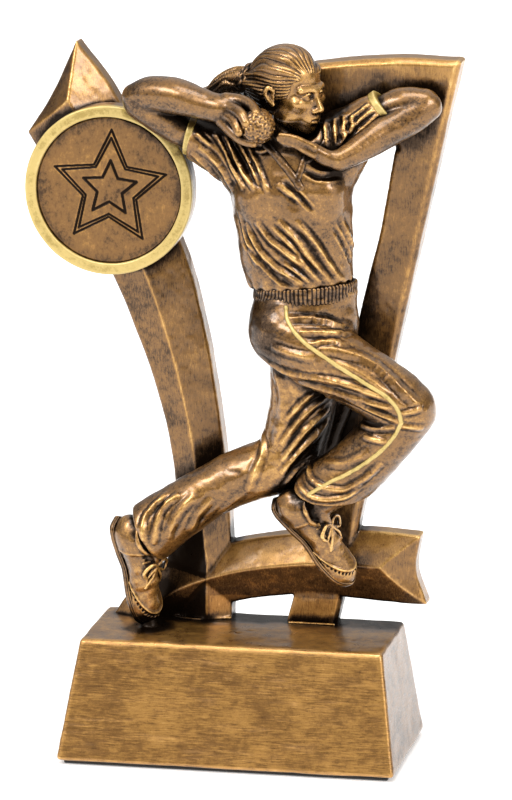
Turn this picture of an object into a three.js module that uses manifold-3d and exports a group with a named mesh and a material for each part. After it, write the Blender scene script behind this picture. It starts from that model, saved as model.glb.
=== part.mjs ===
// A cast-resin cricket bowling trophy: a wedge-sided base, a frame of a bevelled blade, a leaning post, a top blade
// and a curved cross beam, a medal holder on the blade, and a bowler in mid-stride who touches the frame at the
// shoe and elbows. Millimetres, +Z up, -Y the front. The origin is the centre of the felt's underside.
import * as THREE from "three";
import { mergeVertices } from "three/addons/utils/BufferGeometryUtils.js";
import Module from "manifold-3d";

const wasm = await Module();
wasm.setup();

// Driving dimensions
const GAP = 0.3; // the glue line between neighbouring castings
const FELT = { thick: 0.8, inset: 1.2 };
const BASE = { width: 60, depth: 32.4, topWidth: 53.8, topDepth: 23.3, height: 20.7, topBack: 1.3 };
const BASE_TOP = FELT.thick + BASE.height;
const FRAME = { ridge: 5.8, edge: 8.4, face: 7, back: 12.5 }; // depths in Y, front to back
const ROD = { radius: 1.2, sunk: 12 };
const MEDAL = { x: -23.8, z: 99.2, radius: 14.9, recess: 12.7, front: 1, floor: 3, back: 5.5 };
const INSERT = { radius: 12.4, thick: 1.1 };
const STAR = { radius: 10.4, notch: 0.48, turn: -2.2, cut: 0.6, deep: 0.35, outlines: [1, 0.86, 0.475] };
const BALL = { at: [4.6, -8.9, 113.2], radius: 3.05 };
const SHOE = { length: 19, width: 6.6, sole: 1.1 };

// Materials
const finish = (color, roughness, metalness) => new THREE.MeshStandardMaterial({ color, roughness, metalness });
const bronze = finish(0x8a6a35, 0.42, 0.75);
const darkBronze = finish(0x4a3820, 0.45, 0.7);
const gold = finish(0xd9bd5e, 0.4, 0.7);
const steel = finish(0x9a9a9a, 0.35, 1);
const felt = finish(0x161616, 0.95, 0);

const v3 = (p) => new THREE.Vector3(p[0], p[1], p[2]);

// A three.js geometry as a manifold-3d solid, with its vertices merged by place alone.
function solid(geometry) {
  const bare = geometry.index ? geometry.clone() : geometry;
  for (const name of Object.keys(bare.attributes)) if (name !== "position") bare.deleteAttribute(name);
  const merged = mergeVertices(bare, 1e-4);
  return new wasm.Manifold(
    new wasm.Mesh({
      numProp: 3,
      vertProperties: new Float32Array(merged.attributes.position.array),
      triVerts: new Uint32Array(merged.index.array),
    }),
  );
}

// A solid back as a flat-shaded geometry.
function geometryOf(body) {
  const mesh = body.getMesh();
  const points = new Float32Array(mesh.numVert * 3);
  for (let i = 0; i < mesh.numVert; i++) {
    points.set(mesh.vertProperties.subarray(i * mesh.numProp, i * mesh.numProp + 3), i * 3);
  }
  const shared = new THREE.BufferGeometry();
  shared.setAttribute("position", new THREE.BufferAttribute(points, 3));
  shared.setIndex(new THREE.BufferAttribute(new Uint32Array(mesh.triVerts), 1));
  const flat = shared.toNonIndexed();
  flat.computeVertexNormals();
  return flat;
}

const largest = (body) => body.decompose().reduce((a, b) => (a.volume() > b.volume() ? a : b));

const trophy = new THREE.Group();
trophy.name = "bowling_trophy";
const made = []; // every piece so far, as the function that makes it larger by a margin

// Adds one piece, cut back so that it clears every piece made before it by the glue gap.
function piece(group, name, material, make) {
  let body = make(0);
  for (const earlier of made) body = body.subtract(earlier(GAP));
  made.push(make);
  const mesh = new THREE.Mesh(geometryOf(largest(body)), material);
  mesh.name = name;
  group.add(mesh);
  return mesh;
}

function section(name) {
  const group = new THREE.Group();
  group.name = name;
  trophy.add(group);
  return group;
}

// A limb: an elliptical section carried along a smooth curve through its stations, with rounded ends. A station is
// { at: [x, y, z], r: [half-width along side, half-width across] }.
function limb(stations, { side = [0, -1, 0], around = 10, along = 6, cap = 2, blunt = 0.8, grow = 0 } = {}) {
  const curve = new THREE.CatmullRomCurve3(stations.map((s) => v3(s.at)), false, "catmullrom", 0.5);
  const rings = along + 2 * cap;
  const geometry = new THREE.SphereGeometry(1, around, rings);
  const { position, uv } = geometry.attributes;
  for (let i = 0; i < position.count; i++) {
    const turn = uv.getX(i) * 2 * Math.PI;
    const ring = Math.round((1 - uv.getY(i)) * rings);
    const t = THREE.MathUtils.clamp((ring - cap) / along, 0, 1);
    const beyond = ring < cap ? ring - cap : Math.max(0, ring - cap - along);
    const tilt = (Math.abs(beyond) / cap) * (Math.PI / 2);
    const at = t * (stations.length - 1);
    const k = Math.min(Math.floor(at), stations.length - 2);
    const ease = THREE.MathUtils.smoothstep(at - k, 0, 1);
    const radius = [0, 1].map((n) => THREE.MathUtils.lerp(stations[k].r[n], stations[k + 1].r[n], ease) + grow);
    const tangent = curve.getTangent(t);
    const normal = v3(side).addScaledVector(tangent, -v3(side).dot(tangent)).normalize();
    const across = tangent.clone().cross(normal);
    const reach = Math.sign(beyond) * Math.sin(tilt) * (Math.min(...radius) * blunt + grow * (1 - blunt));
    const p = curve
      .getPoint(t)
      .addScaledVector(normal, -Math.cos(turn) * radius[0] * Math.cos(tilt))
      .addScaledVector(across, Math.sin(turn) * radius[1] * Math.cos(tilt))
      .addScaledVector(tangent, reach);
    position.setXYZ(i, p.x, p.y, p.z);
  }
  return solid(geometry);
}

const limbPiece = (group, name, material, stations, options = {}) =>
  piece(group, name, material, (grow) => limb(stations, { ...options, grow }));

// A front-view outline given as [x, z] points, extruded from depth near to depth far with a small bevel.
function slab(outline, near, far, bevel) {
  const shape = new THREE.Shape(outline.map(([x, z]) => new THREE.Vector2(x, z)));
  const options = { depth: far - near - 2 * bevel, bevelEnabled: bevel > 0, bevelSegments: 1 };
  options.bevelThickness = bevel;
  options.bevelSize = bevel;
  options.bevelOffset = -bevel;
  const geometry = new THREE.ExtrudeGeometry(shape, options);
  geometry.rotateX(Math.PI / 2);
  return solid(geometry.translate(0, far - bevel, 0));
}

// A bar with a ridge along its front. Each station gives the [x, z] of its left edge, ridge and right edge; the
// first and last are the ends, where the ridge runs out into a hollow end facet.
function ridgedBar(stations, grow = 0) {
  const points = [];
  const push = (x, y, z) => points.push(x, y, z);
  stations.forEach(({ left, ridge, right, end }) => {
    const [lx, lz, rx, rz] = [...left, ...right];
    const width = Math.hypot(rx - lx, rz - lz);
    const out = [((lx - rx) / width) * grow, ((lz - rz) / width) * grow];
    push(lx + out[0], FRAME.back + grow, lz + out[1]);
    push(lx + out[0], FRAME.edge - grow, lz + out[1]);
    push(ridge[0], (end ? FRAME.edge : FRAME.ridge) - grow, ridge[1]);
    push(rx - out[0], FRAME.edge - grow, rz - out[1]);
    push(rx - out[0], FRAME.back + grow, rz - out[1]);
    push(ridge[0], FRAME.back + grow, ridge[1]);
  });
  const index = [];
  const sides = 6;
  const last = stations.length - 1;
  for (let s = 0; s < last; s++) {
    for (let k = 0; k < sides; k++) {
      const [a, b] = [s * sides + k, s * sides + ((k + 1) % sides)];
      const [c, d] = [a + sides, b + sides];
      // At the last bay the facets fold along lines from the ridge's end to the two corners.
      const fold = s === last - 1 ? k === 1 : k === 2;
      if (fold) index.push(a, c, b, b, c, d);
      else index.push(a, c, d, a, d, b);
    }
  }
  for (let k = 1; k < sides - 1; k++) {
    index.push(0, k, k + 1);
    index.push(last * sides, last * sides + k + 1, last * sides + k);
  }
  const geometry = new THREE.BufferGeometry();
  geometry.setAttribute("position", new THREE.Float32BufferAttribute(points, 3));
  geometry.setIndex(index);
  const body = solid(geometry);
  if (body.volume() > 0) return body;
  geometry.setIndex(index.reverse());
  return solid(geometry);
}

// A round bar from one point to another.
function rod(from, to, radius, grow = 0) {
  const [a, b] = [v3(from), v3(to)];
  const along = b.clone().sub(a);
  const geometry = new THREE.CylinderGeometry(radius + grow, radius + grow, along.length() + 2 * grow, 12);
  geometry.applyQuaternion(new THREE.Quaternion().setFromUnitVectors(v3([0, 1, 0]), along.clone().normalize()));
  return solid(geometry.translate(...a.lerp(b, 0.5).toArray()));
}

// A ring of rectangular section, turned about axis at a point.
function ring(at, axis, inner, outer, width, grow = 0, around = 32) {
  const [low, high] = [-width / 2 - grow, width / 2 + grow];
  const [near, far] = [inner - grow, outer + grow];
  const profile = [
    [near, low],
    [far, low],
    [far, high],
    [near, high],
    [near, low],
  ].map(([r, h]) => new THREE.Vector2(r, h));
  const geometry = new THREE.LatheGeometry(profile, around);
  geometry.applyQuaternion(new THREE.Quaternion().setFromUnitVectors(v3([0, 1, 0]), v3(axis).normalize()));
  return solid(geometry.translate(...at));
}

// A tube of eight sides along a smooth curve through points.
function tube(points, radius, steps, grow = 0) {
  const path = new THREE.CatmullRomCurve3(points.map(v3));
  const round = new THREE.Shape().absarc(0, 0, radius + grow, 0, 2 * Math.PI);
  return solid(new THREE.ExtrudeGeometry(round, { steps, extrudePath: path, curveSegments: 4, bevelEnabled: false }));
}

// A five-pointed star outline about the origin, its first point up but for a small turn.
function starPoints(radius) {
  const points = [];
  for (let k = 0; k < 10; k++) {
    const r = k % 2 ? radius * STAR.notch : radius;
    const angle = Math.PI / 2 + THREE.MathUtils.degToRad(STAR.turn) + (k * Math.PI) / 5;
    points.push(new THREE.Vector2(r * Math.cos(angle), r * Math.sin(angle)));
  }
  return points;
}

// ---------------------------------------------------------------- base
const baseGroup = section("base");

// A block whose rectangular plan changes from foot to top. The foot is centred, the top is set back.
function taperedBlock(bottom, top, low, high, back, grow = 0) {
  const geometry = new THREE.BoxGeometry(1, 1, 1);
  const { position } = geometry.attributes;
  for (let i = 0; i < position.count; i++) {
    const up = position.getZ(i) > 0;
    const [width, depth] = up ? top : bottom;
    const x = position.getX(i) * (width + 2 * grow);
    const y = position.getY(i) * (depth + 2 * grow) + (up ? back : 0);
    position.setXYZ(i, x, y, up ? high + grow : low - grow);
  }
  return solid(geometry);
}

const leftRodEnds = [
  [-8.4, 9.6, BASE_TOP - ROD.sunk],
  [-9.4, 9.6, 50],
];
const rightRodEnds = [
  [8.9, 9.9, BASE_TOP - ROD.sunk],
  [18.6, 9.9, 54],
];
const shoePinEnds = [
  [-15.8, 0.8, BASE_TOP - 7],
  [-17.2, 0.6, BASE_TOP + 6],
];

piece(baseGroup, "left_armature_rod", steel, (g) => rod(...leftRodEnds, ROD.radius, g));
piece(baseGroup, "right_armature_rod", steel, (g) => rod(...rightRodEnds, ROD.radius, g));
piece(baseGroup, "shoe_pin", steel, (g) => rod(...shoePinEnds, 0.8, g));
piece(baseGroup, "base_block", bronze, (g) =>
  taperedBlock([BASE.width, BASE.depth], [BASE.topWidth, BASE.topDepth], FELT.thick, BASE_TOP, BASE.topBack, g),
);
const feltSize = [BASE.width - 2 * FELT.inset, BASE.depth - 2 * FELT.inset];
piece(baseGroup, "felt_pad", felt, (g) => taperedBlock(feltSize, feltSize, 0, FELT.thick - 0.02, 0, g));

// ---------------------------------------------------------------- medal
const medalGroup = section("medal");
const medalAt = (depth) => [MEDAL.x, depth, MEDAL.z];

// A disc facing the front, between two depths.
function disc(radius, front, back, grow) {
  const geometry = new THREE.CylinderGeometry(radius + grow, radius + grow, back - front + 2 * grow, 40);
  return solid(geometry.translate(...medalAt((front + back) / 2)));
}

// The gold rim is the wall that stands in front of the backplate, and the insert lies inside it.
const rimThick = MEDAL.floor - GAP - MEDAL.front;
piece(medalGroup, "medal_rim", gold, (g) =>
  ring(medalAt(MEDAL.front + rimThick / 2), [0, 1, 0], MEDAL.recess, MEDAL.radius, rimThick, g, 40),
);
piece(medalGroup, "medal_insert", bronze, (g) => {
  const face = MEDAL.floor - GAP - INSERT.thick;
  let insert = disc(INSERT.radius, face, MEDAL.floor - GAP, g);
  if (g > 0) return insert;
  for (const scale of STAR.outlines) {
    const groove = new THREE.Shape(starPoints(STAR.radius * scale));
    groove.holes.push(new THREE.Path(starPoints(STAR.radius * scale - STAR.cut)));
    const cutter = new THREE.ExtrudeGeometry(groove, { depth: STAR.deep * 2, bevelEnabled: false });
    cutter.rotateX(Math.PI / 2).translate(MEDAL.x, face + STAR.deep, MEDAL.z);
    insert = insert.subtract(solid(cutter));
  }
  return insert;
});
piece(medalGroup, "medal_backplate", bronze, (g) => disc(MEDAL.radius, MEDAL.floor, MEDAL.back, g));

// ---------------------------------------------------------------- frame
const frameGroup = section("frame");

// The cross beam arches from the base at the left to a hollow fishtail end at the right.
const beamStations = [
  { left: [-23.2, 23], ridge: [-22.4, 19.6], right: [-21.4, 16.5] },
  { left: [-15, 31.6], ridge: [-13, 27.4], right: [-10.6, 20.6] },
  { left: [-6.2, 34.6], ridge: [-4.8, 29.9], right: [-3.6, 24.3] },
  { left: [3, 36.8], ridge: [3.8, 31.5], right: [4.4, 25.8] },
  { left: [13, 38.3], ridge: [13, 32.5], right: [13, 26.4] },
  { left: [24.6, 38.7], ridge: [25, 32.5], right: [25.6, 25.9] },
  { left: [30.4, 38.2], ridge: [30.4, 32.1], right: [31.7, 25.7], end: true },
];
piece(frameGroup, "cross_beam", bronze, (g) => ridgedBar(beamStations, g));

// The blade sweeps up from the base and flares to a fishtail behind the medal.
const bladeFoot = [
  { left: [-15.5, 20], ridge: [-8, 20], right: [-3.3, 20] },
  { left: [-15.2, 30], ridge: [-8, 30], right: [-3.4, 30] },
];
const bladeStations = [
  { left: [-15.4, 26], ridge: [-8, 26], right: [-3.4, 26] },
  { left: [-14.1, 41], ridge: [-8.6, 41], right: [-3.7, 41] },
  { left: [-14.5, 52], ridge: [-10.1, 52], right: [-4.8, 52] },
  { left: [-17.3, 64], ridge: [-12.8, 64], right: [-6.6, 64] },
  { left: [-22.3, 76.4], ridge: [-17, 77], right: [-9.1, 77.5] },
  { left: [-28.4, 89], ridge: [-22.4, 90.5], right: [-13.4, 91.5] },
  { left: [-35.4, 101], ridge: [-28.9, 103.4], right: [-20, 108.6] },
  { left: [-38.4, 105.8], ridge: [-33.7, 111.8], right: [-25.6, 118] },
  { left: [-39.7, 107.7], ridge: [-34.3, 115.6], right: [-30.4, 124.1], end: true },
];
piece(frameGroup, "left_blade", bronze, (g) => {
  const bar = ridgedBar(bladeStations, g);
  return g > 0 ? bar : bar.trimByPlane([0, 0, 1], 30);
});
piece(frameGroup, "left_blade_foot", bronze, (g) => ridgedBar(bladeFoot, g));

// The post is one long leaning bar; the top blade meets it in a mitre at the upper right corner. Each edge is given
// as [x, z] points from the base up.
const edge = (points) => new THREE.CatmullRomCurve3(points.map(([x, z]) => v3([x, 0, z])));
const xz = (p) => [p.x, p.z];
const corner = [37.4, 122.4];
const mitre = [28.6, 115.2];
const bevel = 0.45;
const postLeft = edge([[6.6, 20], [14.2, 53], [20.4, 82], [24.6, 102], mitre]);
const postRight = edge([[15, 20], [21.2, 47], [29.7, 88.5], [34.4, 110.3], corner]);
const beamPasses = 31; // the height where the post's two castings meet behind the beam
const postOutline = (low, high, g) => {
  const within = ([, z]) => z >= low && z <= high;
  const left = postLeft.getPoints(16).map(xz).filter(within);
  const right = postRight.getPoints(16).map(xz).filter(within);
  return [...left.map(([x, z]) => [x - g, z]), ...right.reverse().map(([x, z]) => [x + g, z])];
};
piece(frameGroup, "right_post", bronze, (g) =>
  slab(postOutline(beamPasses, corner[1] + 1, g), FRAME.face - g, FRAME.back + g, bevel),
);
piece(frameGroup, "right_post_foot", bronze, (g) =>
  slab(postOutline(0, beamPasses + 4, g), FRAME.face - g, FRAME.back + g, bevel),
);

// The top blade: its upper edge is a long shallow arc, and its lower edge closes on it towards the left tip.
const bladeTip = -9.6;
const topEdge = edge([[corner[0] - 0.7, corner[1] + 0.1], [28.4, 123], [12.3, 121.5], [bladeTip, 115.9]]);
const lowEdge = edge([[bladeTip, 114.9], [6, 112.6], [18, 111.8], [mitre[0] - 0.5, mitre[1] - 0.1]]);
piece(frameGroup, "top_blade", bronze, () =>
  slab([...topEdge.getPoints(10).map(xz), ...lowEdge.getPoints(5).map(xz)], FRAME.face, FRAME.back, bevel),
);

// ---------------------------------------------------------------- figure
const body = section("bowler");
const station = (x, y, z, a, b = a) => ({ at: [x, y, z], r: [a, b] });

// Trousers: the seat, then each leg as a thigh, a lower leg and a hem.
const across = { side: [1, 0, 0] };
limbPiece(body, "waistband", darkBronze, [station(11.6, -1.2, 81.9, 8.6, 6), station(11.9, -1.2, 84.2, 8.7, 6)], {
  ...across,
  along: 2,
  around: 20,
  blunt: 0.02,
});
const rightHip = station(9.6, -4, 75.6, 6.6, 6.4);
const rightKnee = station(30.2, -5.4, 64.4, 5, 5);
limbPiece(body, "trouser_seat", bronze, [
  station(11.6, -1.2, 81.4, 8.6, 5.9),
  station(11.4, -1.2, 77.5, 8.9, 6.6),
  station(11.2, -0.6, 72.5, 7, 6),
], { ...across, around: 16, blunt: 0.3 });
limbPiece(body, "right_thigh", bronze, [
  rightHip,
  station(17, -5.4, 72.3, 6.1, 6.2),
  station(26.2, -6, 67.1, 5.4, 5.5),
  rightKnee,
]);
limbPiece(body, "left_thigh", bronze, [
  station(10.6, 1.4, 73, 5, 6),
  station(9.7, 1.6, 62.5, 5, 5.6),
  station(7.6, 1.2, 52, 4.8, 5),
]);
limbPiece(body, "right_lower_leg", bronze, [
  station(30, -5.2, 62.6, 4.7, 4.6),
  station(22.4, -4.4, 55, 5, 5.2),
  station(16.9, -3.4, 49.4, 5, 5.6),
]);
limbPiece(body, "left_lower_leg", bronze, [
  station(5, 1, 50.6, 4.8, 4.8),
  station(-5, 0.2, 46.6, 5, 5.4),
  station(-14, -0.6, 41, 4.7, 5),
]);
piece(body, "right_hem", bronze, (g) => ring([16.2, -3.1, 48], [0.38, -0.02, 0.92], 3.4, 5.9, 1.3, g, 20));
piece(body, "left_hem", bronze, (g) => ring([-16.6, -0.6, 38.8], [0.86, 0, 0.5], 3.2, 5.4, 1.3, g, 20));

// Shoes: each is built heel to toe along its own axis, sole down, then turned into place.
function shoeFrame(heel, toe, up) {
  const x = v3(toe).sub(v3(heel)).normalize();
  const z = v3(up).addScaledVector(x, -v3(up).dot(x)).normalize();
  const y = z.clone().cross(x);
  return new THREE.Matrix4().makeBasis(x, y, z).setPosition(v3(heel));
}

function shoe(side, heel, toe, up) {
  const frame = shoeFrame(heel, toe, up);
  const place = (local) => v3(local).applyMatrix4(frame).toArray();
  const lateral = v3([0, 1, 0]).transformDirection(frame).toArray();
  const half = SHOE.width / 2;
  const [from, waist, ball, tip] = [0.6, 0.42 * SHOE.length, 0.7 * SHOE.length, SHOE.length];
  piece(body, `${side}_shoe_sole`, darkBronze, (g) => {
    const outline = new THREE.Shape();
    outline.moveTo(from, half * 0.55 + g);
    outline.quadraticCurveTo(waist, half * 0.7 + g, ball, half + g);
    outline.quadraticCurveTo(tip + g, half * 0.9, tip + g, 0);
    outline.quadraticCurveTo(tip + g, -half * 0.9, ball, -half - g);
    outline.quadraticCurveTo(waist, -half * 0.7 - g, from, -half * 0.55 - g);
    outline.quadraticCurveTo(-1.6 - g, 0, from, half * 0.55 + g);
    const depth = SHOE.sole + 2 * g;
    const geometry = new THREE.ExtrudeGeometry(outline, { depth, bevelEnabled: false, curveSegments: 4 });
    return solid(geometry.translate(0, 0, -g).applyMatrix4(frame));
  });
  limbPiece(body, `${side}_shoe_upper`, bronze, [
    { at: place([1.8, 0, 4]), r: [2.3, 3.4] },
    { at: place([6, 0, 3.9]), r: [2.6, 3.2] },
    { at: place([11, 0, 2.9]), r: [3, 2.4] },
    { at: place([16, 0, 2.4]), r: [2.8, 1.6] },
  ], { side: lateral });
  piece(body, `${side}_shoe_laces`, gold, (g) => {
    const loop = new THREE.TorusGeometry(1.5, 0.3 + g, 6, 14);
    loop.scale(1, 1.3, 1);
    return solid(loop.translate(9.4, 0, 6.2).applyMatrix4(frame));
  });
}

shoe("right", [6.6, -1.6, 45.2], [18.6, 0.2, 31.8], [0.6, -0.5, 0.6]);
shoe("left", [-22.5, 0.4, 40], [-17.7, 1.4, 22.7], [0.84, -0.5, 0.26]);

// The gold piping down the outside of the leading leg.
piece(body, "right_thigh_piping", gold, (g) =>
  tube([[9.4, -8.6, 79.6], [13, -10.9, 74.4], [20, -12, 69.2], [27.6, -11.2, 64.6]], 0.5, 9, g),
);
piece(body, "right_shin_piping", gold, (g) =>
  tube([[28.4, -10.4, 62.6], [24.4, -10, 57.4], [19, -9.3, 52.8], [15.2, -8.8, 50.2]], 0.5, 8, g),
);

// Shirt, neck and head.
limbPiece(body, "shirt_body", bronze, [
  station(10.8, -1.2, 85.6, 9.2, 6.3),
  station(10, -1.2, 91, 9.8, 6.8),
  station(9, -1.4, 99, 10.4, 7),
  station(8.8, -0.6, 107, 10.2, 5.2),
], { ...across, around: 16, blunt: 0.4 });
limbPiece(body, "neck", bronze, [station(10.2, -0.6, 108.4, 2.9), station(9.6, -1.4, 114, 2.7)], { along: 3 });
piece(body, "shirt_collar", darkBronze, (g) => ring([10.4, -1.2, 110.3], [-0.15, -0.25, 1], 3.4, 4.6, 1.6, g, 20));
const facing = [0.74, -0.67, 0];
limbPiece(body, "head", bronze, [
  station(11.1, -3.8, 113.2, 3.3, 2.9),
  station(9.6, -2.6, 117, 5, 4.4),
  station(8.7, -1.8, 120.9, 5.2, 4.7),
], { side: facing, around: 16, blunt: 0.85 });
limbPiece(body, "hair", darkBronze, [
  station(6.4, -0.2, 115.2, 3.8, 4.6),
  station(7.2, -0.8, 118.4, 5.6, 5.4),
  station(7.8, -1.2, 121, 5.8, 5.5),
], { side: facing, around: 16, blunt: 0.92 });
piece(body, "hair_tie", darkBronze, (g) => ring([0.6, 1.6, 119.5], [0.93, -0.3, 0.1], 0.5, 2.5, 1.2, g, 16));
limbPiece(body, "ponytail", darkBronze, [
  station(-1.2, 2.2, 119, 2.2, 2),
  station(-3.6, 3.2, 117, 2.3, 2),
  station(-5.4, 3.6, 113.6, 2.1, 1.8),
  station(-5.4, 3.6, 109.4, 1.2, 1.1),
], { around: 10 });

// An arm: sleeve, gold band, bare upper arm, forearm and hand.
function arm(side, { shoulder, band, elbow, wrist, knuckles, fingertips }) {
  const toElbow = v3(elbow).sub(v3(shoulder)).normalize().toArray();
  const between = (a, b, t) => v3(a).lerp(v3(b), t).toArray();
  piece(body, `${side}_sleeve_band`, gold, (g) => ring(band, toElbow, 2.7, 3.6, 1.1, g, 20));
  limbPiece(body, `${side}_sleeve`, bronze, [
    { at: shoulder, r: [4.4, 4.6] },
    { at: between(shoulder, band, 0.85), r: [3.4, 3.5] },
  ], { along: 4, blunt: 0.3 });
  limbPiece(body, `${side}_forearm`, bronze, [
    { at: elbow, r: [2.5, 2.6] },
    { at: between(elbow, wrist, 0.35), r: [3, 3.1] },
    { at: wrist, r: [2.1, 2.3] },
  ]);
  limbPiece(body, `${side}_upper_arm`, bronze, [
    { at: between(band, elbow, -0.3), r: [2.3, 2.3] },
    { at: between(band, elbow, 0.8), r: [2.6, 2.7] },
  ], { along: 4 });
  limbPiece(body, `${side}_hand`, bronze, [
    { at: between(wrist, knuckles, 0.35), r: [1.6, 2] },
    { at: knuckles, r: [1.2, 2.3] },
    { at: fingertips, r: [0.9, 1.8] },
  ]);
}

piece(body, "cricket_ball", bronze, (g) =>
  solid(new THREE.SphereGeometry(BALL.radius + g, 14, 10).translate(...BALL.at)),
);
arm("right", {
  shoulder: [-0.2, 0, 106.6],
  band: [-8.5, -1.3, 109.9],
  elbow: [-18.4, -2.6, 116],
  wrist: [-2.4, -6.8, 115.6],
  knuckles: [1.2, -7.6, 114.4],
  fingertips: [3.4, -6, 116.2],
});
arm("left", {
  shoulder: [17.6, 0, 108.6],
  band: [24.6, 0.8, 112.6],
  elbow: [32.2, 2.6, 114.6],
  wrist: [18, -6.4, 107.6],
  knuckles: [13.6, -8.2, 109.6],
  fingertips: [10, -8.9, 110.9],
});

export default trophy;
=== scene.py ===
"""Looks for the cricket bowling trophy: an antique-gold resin casting of a bowler inside a frame.

Every visible piece is sculpted here as a distance field, in millimetres and in the CAD's frame (+Z up, -Y the
front). It is turned into a mesh, given its folds, strands or stitches, and coloured by how proud or shut in
each
point is: a dark wash stays in the recesses, and the high places are rubbed clean. Painted shade is added on
top, between pieces, underneath and on some sides, and a painted highlight where the cross beam faces up.
"""

import math

import bpy
import numpy as np
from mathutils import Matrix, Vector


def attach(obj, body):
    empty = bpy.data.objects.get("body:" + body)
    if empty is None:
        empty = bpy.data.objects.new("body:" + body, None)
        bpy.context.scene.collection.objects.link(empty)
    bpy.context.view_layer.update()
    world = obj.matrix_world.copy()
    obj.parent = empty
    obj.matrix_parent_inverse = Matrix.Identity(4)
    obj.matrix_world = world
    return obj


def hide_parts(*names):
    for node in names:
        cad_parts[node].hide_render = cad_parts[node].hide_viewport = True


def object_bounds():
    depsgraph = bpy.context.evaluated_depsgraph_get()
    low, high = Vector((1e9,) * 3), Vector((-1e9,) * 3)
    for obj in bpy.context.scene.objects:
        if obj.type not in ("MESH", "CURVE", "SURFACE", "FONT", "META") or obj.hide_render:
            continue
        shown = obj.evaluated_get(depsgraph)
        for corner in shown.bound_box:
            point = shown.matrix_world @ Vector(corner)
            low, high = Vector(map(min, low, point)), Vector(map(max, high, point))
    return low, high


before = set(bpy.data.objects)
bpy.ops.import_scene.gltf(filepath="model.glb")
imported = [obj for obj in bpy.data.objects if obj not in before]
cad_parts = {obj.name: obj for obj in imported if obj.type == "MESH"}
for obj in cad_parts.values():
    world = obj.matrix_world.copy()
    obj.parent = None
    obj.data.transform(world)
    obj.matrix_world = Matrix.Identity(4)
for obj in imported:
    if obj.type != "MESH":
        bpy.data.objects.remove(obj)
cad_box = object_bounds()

import openvdb
from mathutils import Matrix, Vector

MM = 0.001
FAR = 6.0  # distances are only kept this far from a surface
COARSE = 1.0  # grid steps grow by this while trying things
CORNERS = [(dx, dy, dz) for dx in (0, 1) for dy in (0, 1) for dz in (0, 1)]


# ------------------------------------------------------------------ small mathematics


def smooth(points, between=6):
    """A Catmull-Rom curve through rows of numbers, with that many steps between each two."""
    p = np.array(points, float)
    if len(p) < 3:
        t = np.linspace(0, 1, between + 1)[:, None]
        return p[0] * (1 - t) + p[-1] * t
    ends = np.vstack([2 * p[0] - p[1], p, 2 * p[-1] - p[-2]])
    t = (np.arange(between) / between)[:, None]
    rows = []
    for k in range(len(p) - 1):
        a, b, c, d = ends[k : k + 4]
        curve = 2 * b + (c - a) * t + (2 * a - 5 * b + 4 * c - d) * t**2 + (3 * b - a - 3 * c + d) * t**3
        rows.append(0.5 * curve)
    return np.vstack([*rows, p[-1:]])


def turn(axis, degrees):
    return np.array(Matrix.Rotation(math.radians(degrees), 4, axis))


def shift(x, y, z):
    m = np.eye(4)
    m[:3, 3] = (x, y, z)
    return m


def bump(x, width):
    """A soft bump: 1 where x is 0, fading over that width."""
    return np.exp(-((x / width) ** 2))


def rise(x, width):
    """0 up to x = 0, then straight up to 1 at that width."""
    return np.clip(x / width, 0, 1)


def corner_share(f, corner):
    """How much a cell's corner counts at points that lie f of the way across the cell."""
    return np.prod([np.abs(1 - corner[k] - f[:, k]) for k in range(3)], axis=0)


def lattice_noise(p, size, seed):
    """Smooth noise from -1 to 1 at rows of points, with features of that size in millimetres."""
    table = np.random.default_rng(seed).uniform(-1, 1, 4096)
    q = np.asarray(p) / np.asarray(size)
    cell = np.floor(q).astype(np.int64)
    f = q - cell
    f = f * f * (3 - 2 * f)
    out = np.zeros(len(q))
    for corner in CORNERS:
        x, y, z = (cell + corner).T
        key = (x * 73856093) ^ (y * 19349663) ^ (z * 83492791)
        out += corner_share(f, corner) * table[key % len(table)]
    return out


# ------------------------------------------------------------------ forms: solid shapes as distances


class Form:
    """A shape: the box it lies in, and its distance at coordinates x, y, z."""

    def __init__(self, low, high, distance):
        self.low, self.high, self.distance = np.array(low, float), np.array(high, float), distance


def cone(a, b, ra, rb, deep=1.0):
    """A round-ended cone from a to b. Its depth in Y is deep times its width."""
    a, b = np.array(a, float), np.array(b, float)
    stretch = np.array([1, 1 / deep, 1])
    ba = (b - a) * stretch
    length = max(ba @ ba, 1e-9)

    def distance(p):
        q = [(p[k] - a[k]) * stretch[k] for k in range(3)]
        t = np.clip((q[0] * ba[0] + q[1] * ba[1] + q[2] * ba[2]) / length, 0, 1)
        return np.sqrt(sum((q[k] - t * ba[k]) ** 2 for k in range(3))) - (ra + (rb - ra) * t)

    reach = max(ra, rb) * max(1, deep)
    return Form(np.minimum(a, b) - reach, np.maximum(a, b) + reach, distance)


def limb(stations, deep=1.0, between=7):
    """Round cones along a smooth curve. A station is x, y, z, radius."""
    path = smooth(stations, between)
    parts = [cone(p[:3], q[:3], p[3], q[3], deep) for p, q in zip(path[:-1], path[1:])]

    def distance(p):
        d = parts[0].distance(p)
        for part in parts[1:]:
            d = np.minimum(d, part.distance(p))
        return d

    return Form(np.min([p.low for p in parts], 0), np.max([p.high for p in parts], 0), distance)


def ellipsoid(at, radii):
    def distance(p):
        q = [p[k] - at[k] for k in range(3)]
        k0 = np.sqrt(sum((q[k] / radii[k]) ** 2 for k in range(3)))
        k1 = np.sqrt(sum((q[k] / radii[k] ** 2) ** 2 for k in range(3)))
        return k0 * (k0 - 1) / np.maximum(k1, 1e-5)

    reach = max(radii)
    return Form(np.array(at) - reach, np.array(at) + reach, distance)


def torus(at, axis, radius, thick):
    axis = np.array(axis, float) / np.linalg.norm(axis)

    def distance(p):
        q = [p[k] - at[k] for k in range(3)]
        along = sum(q[k] * axis[k] for k in range(3))
        around = np.sqrt(np.maximum(sum(c * c for c in q) - along**2, 0))
        return np.sqrt((around - radius) ** 2 + along**2) - thick

    reach = radius + thick
    return Form(np.array(at) - reach, np.array(at) + reach, distance)


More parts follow.
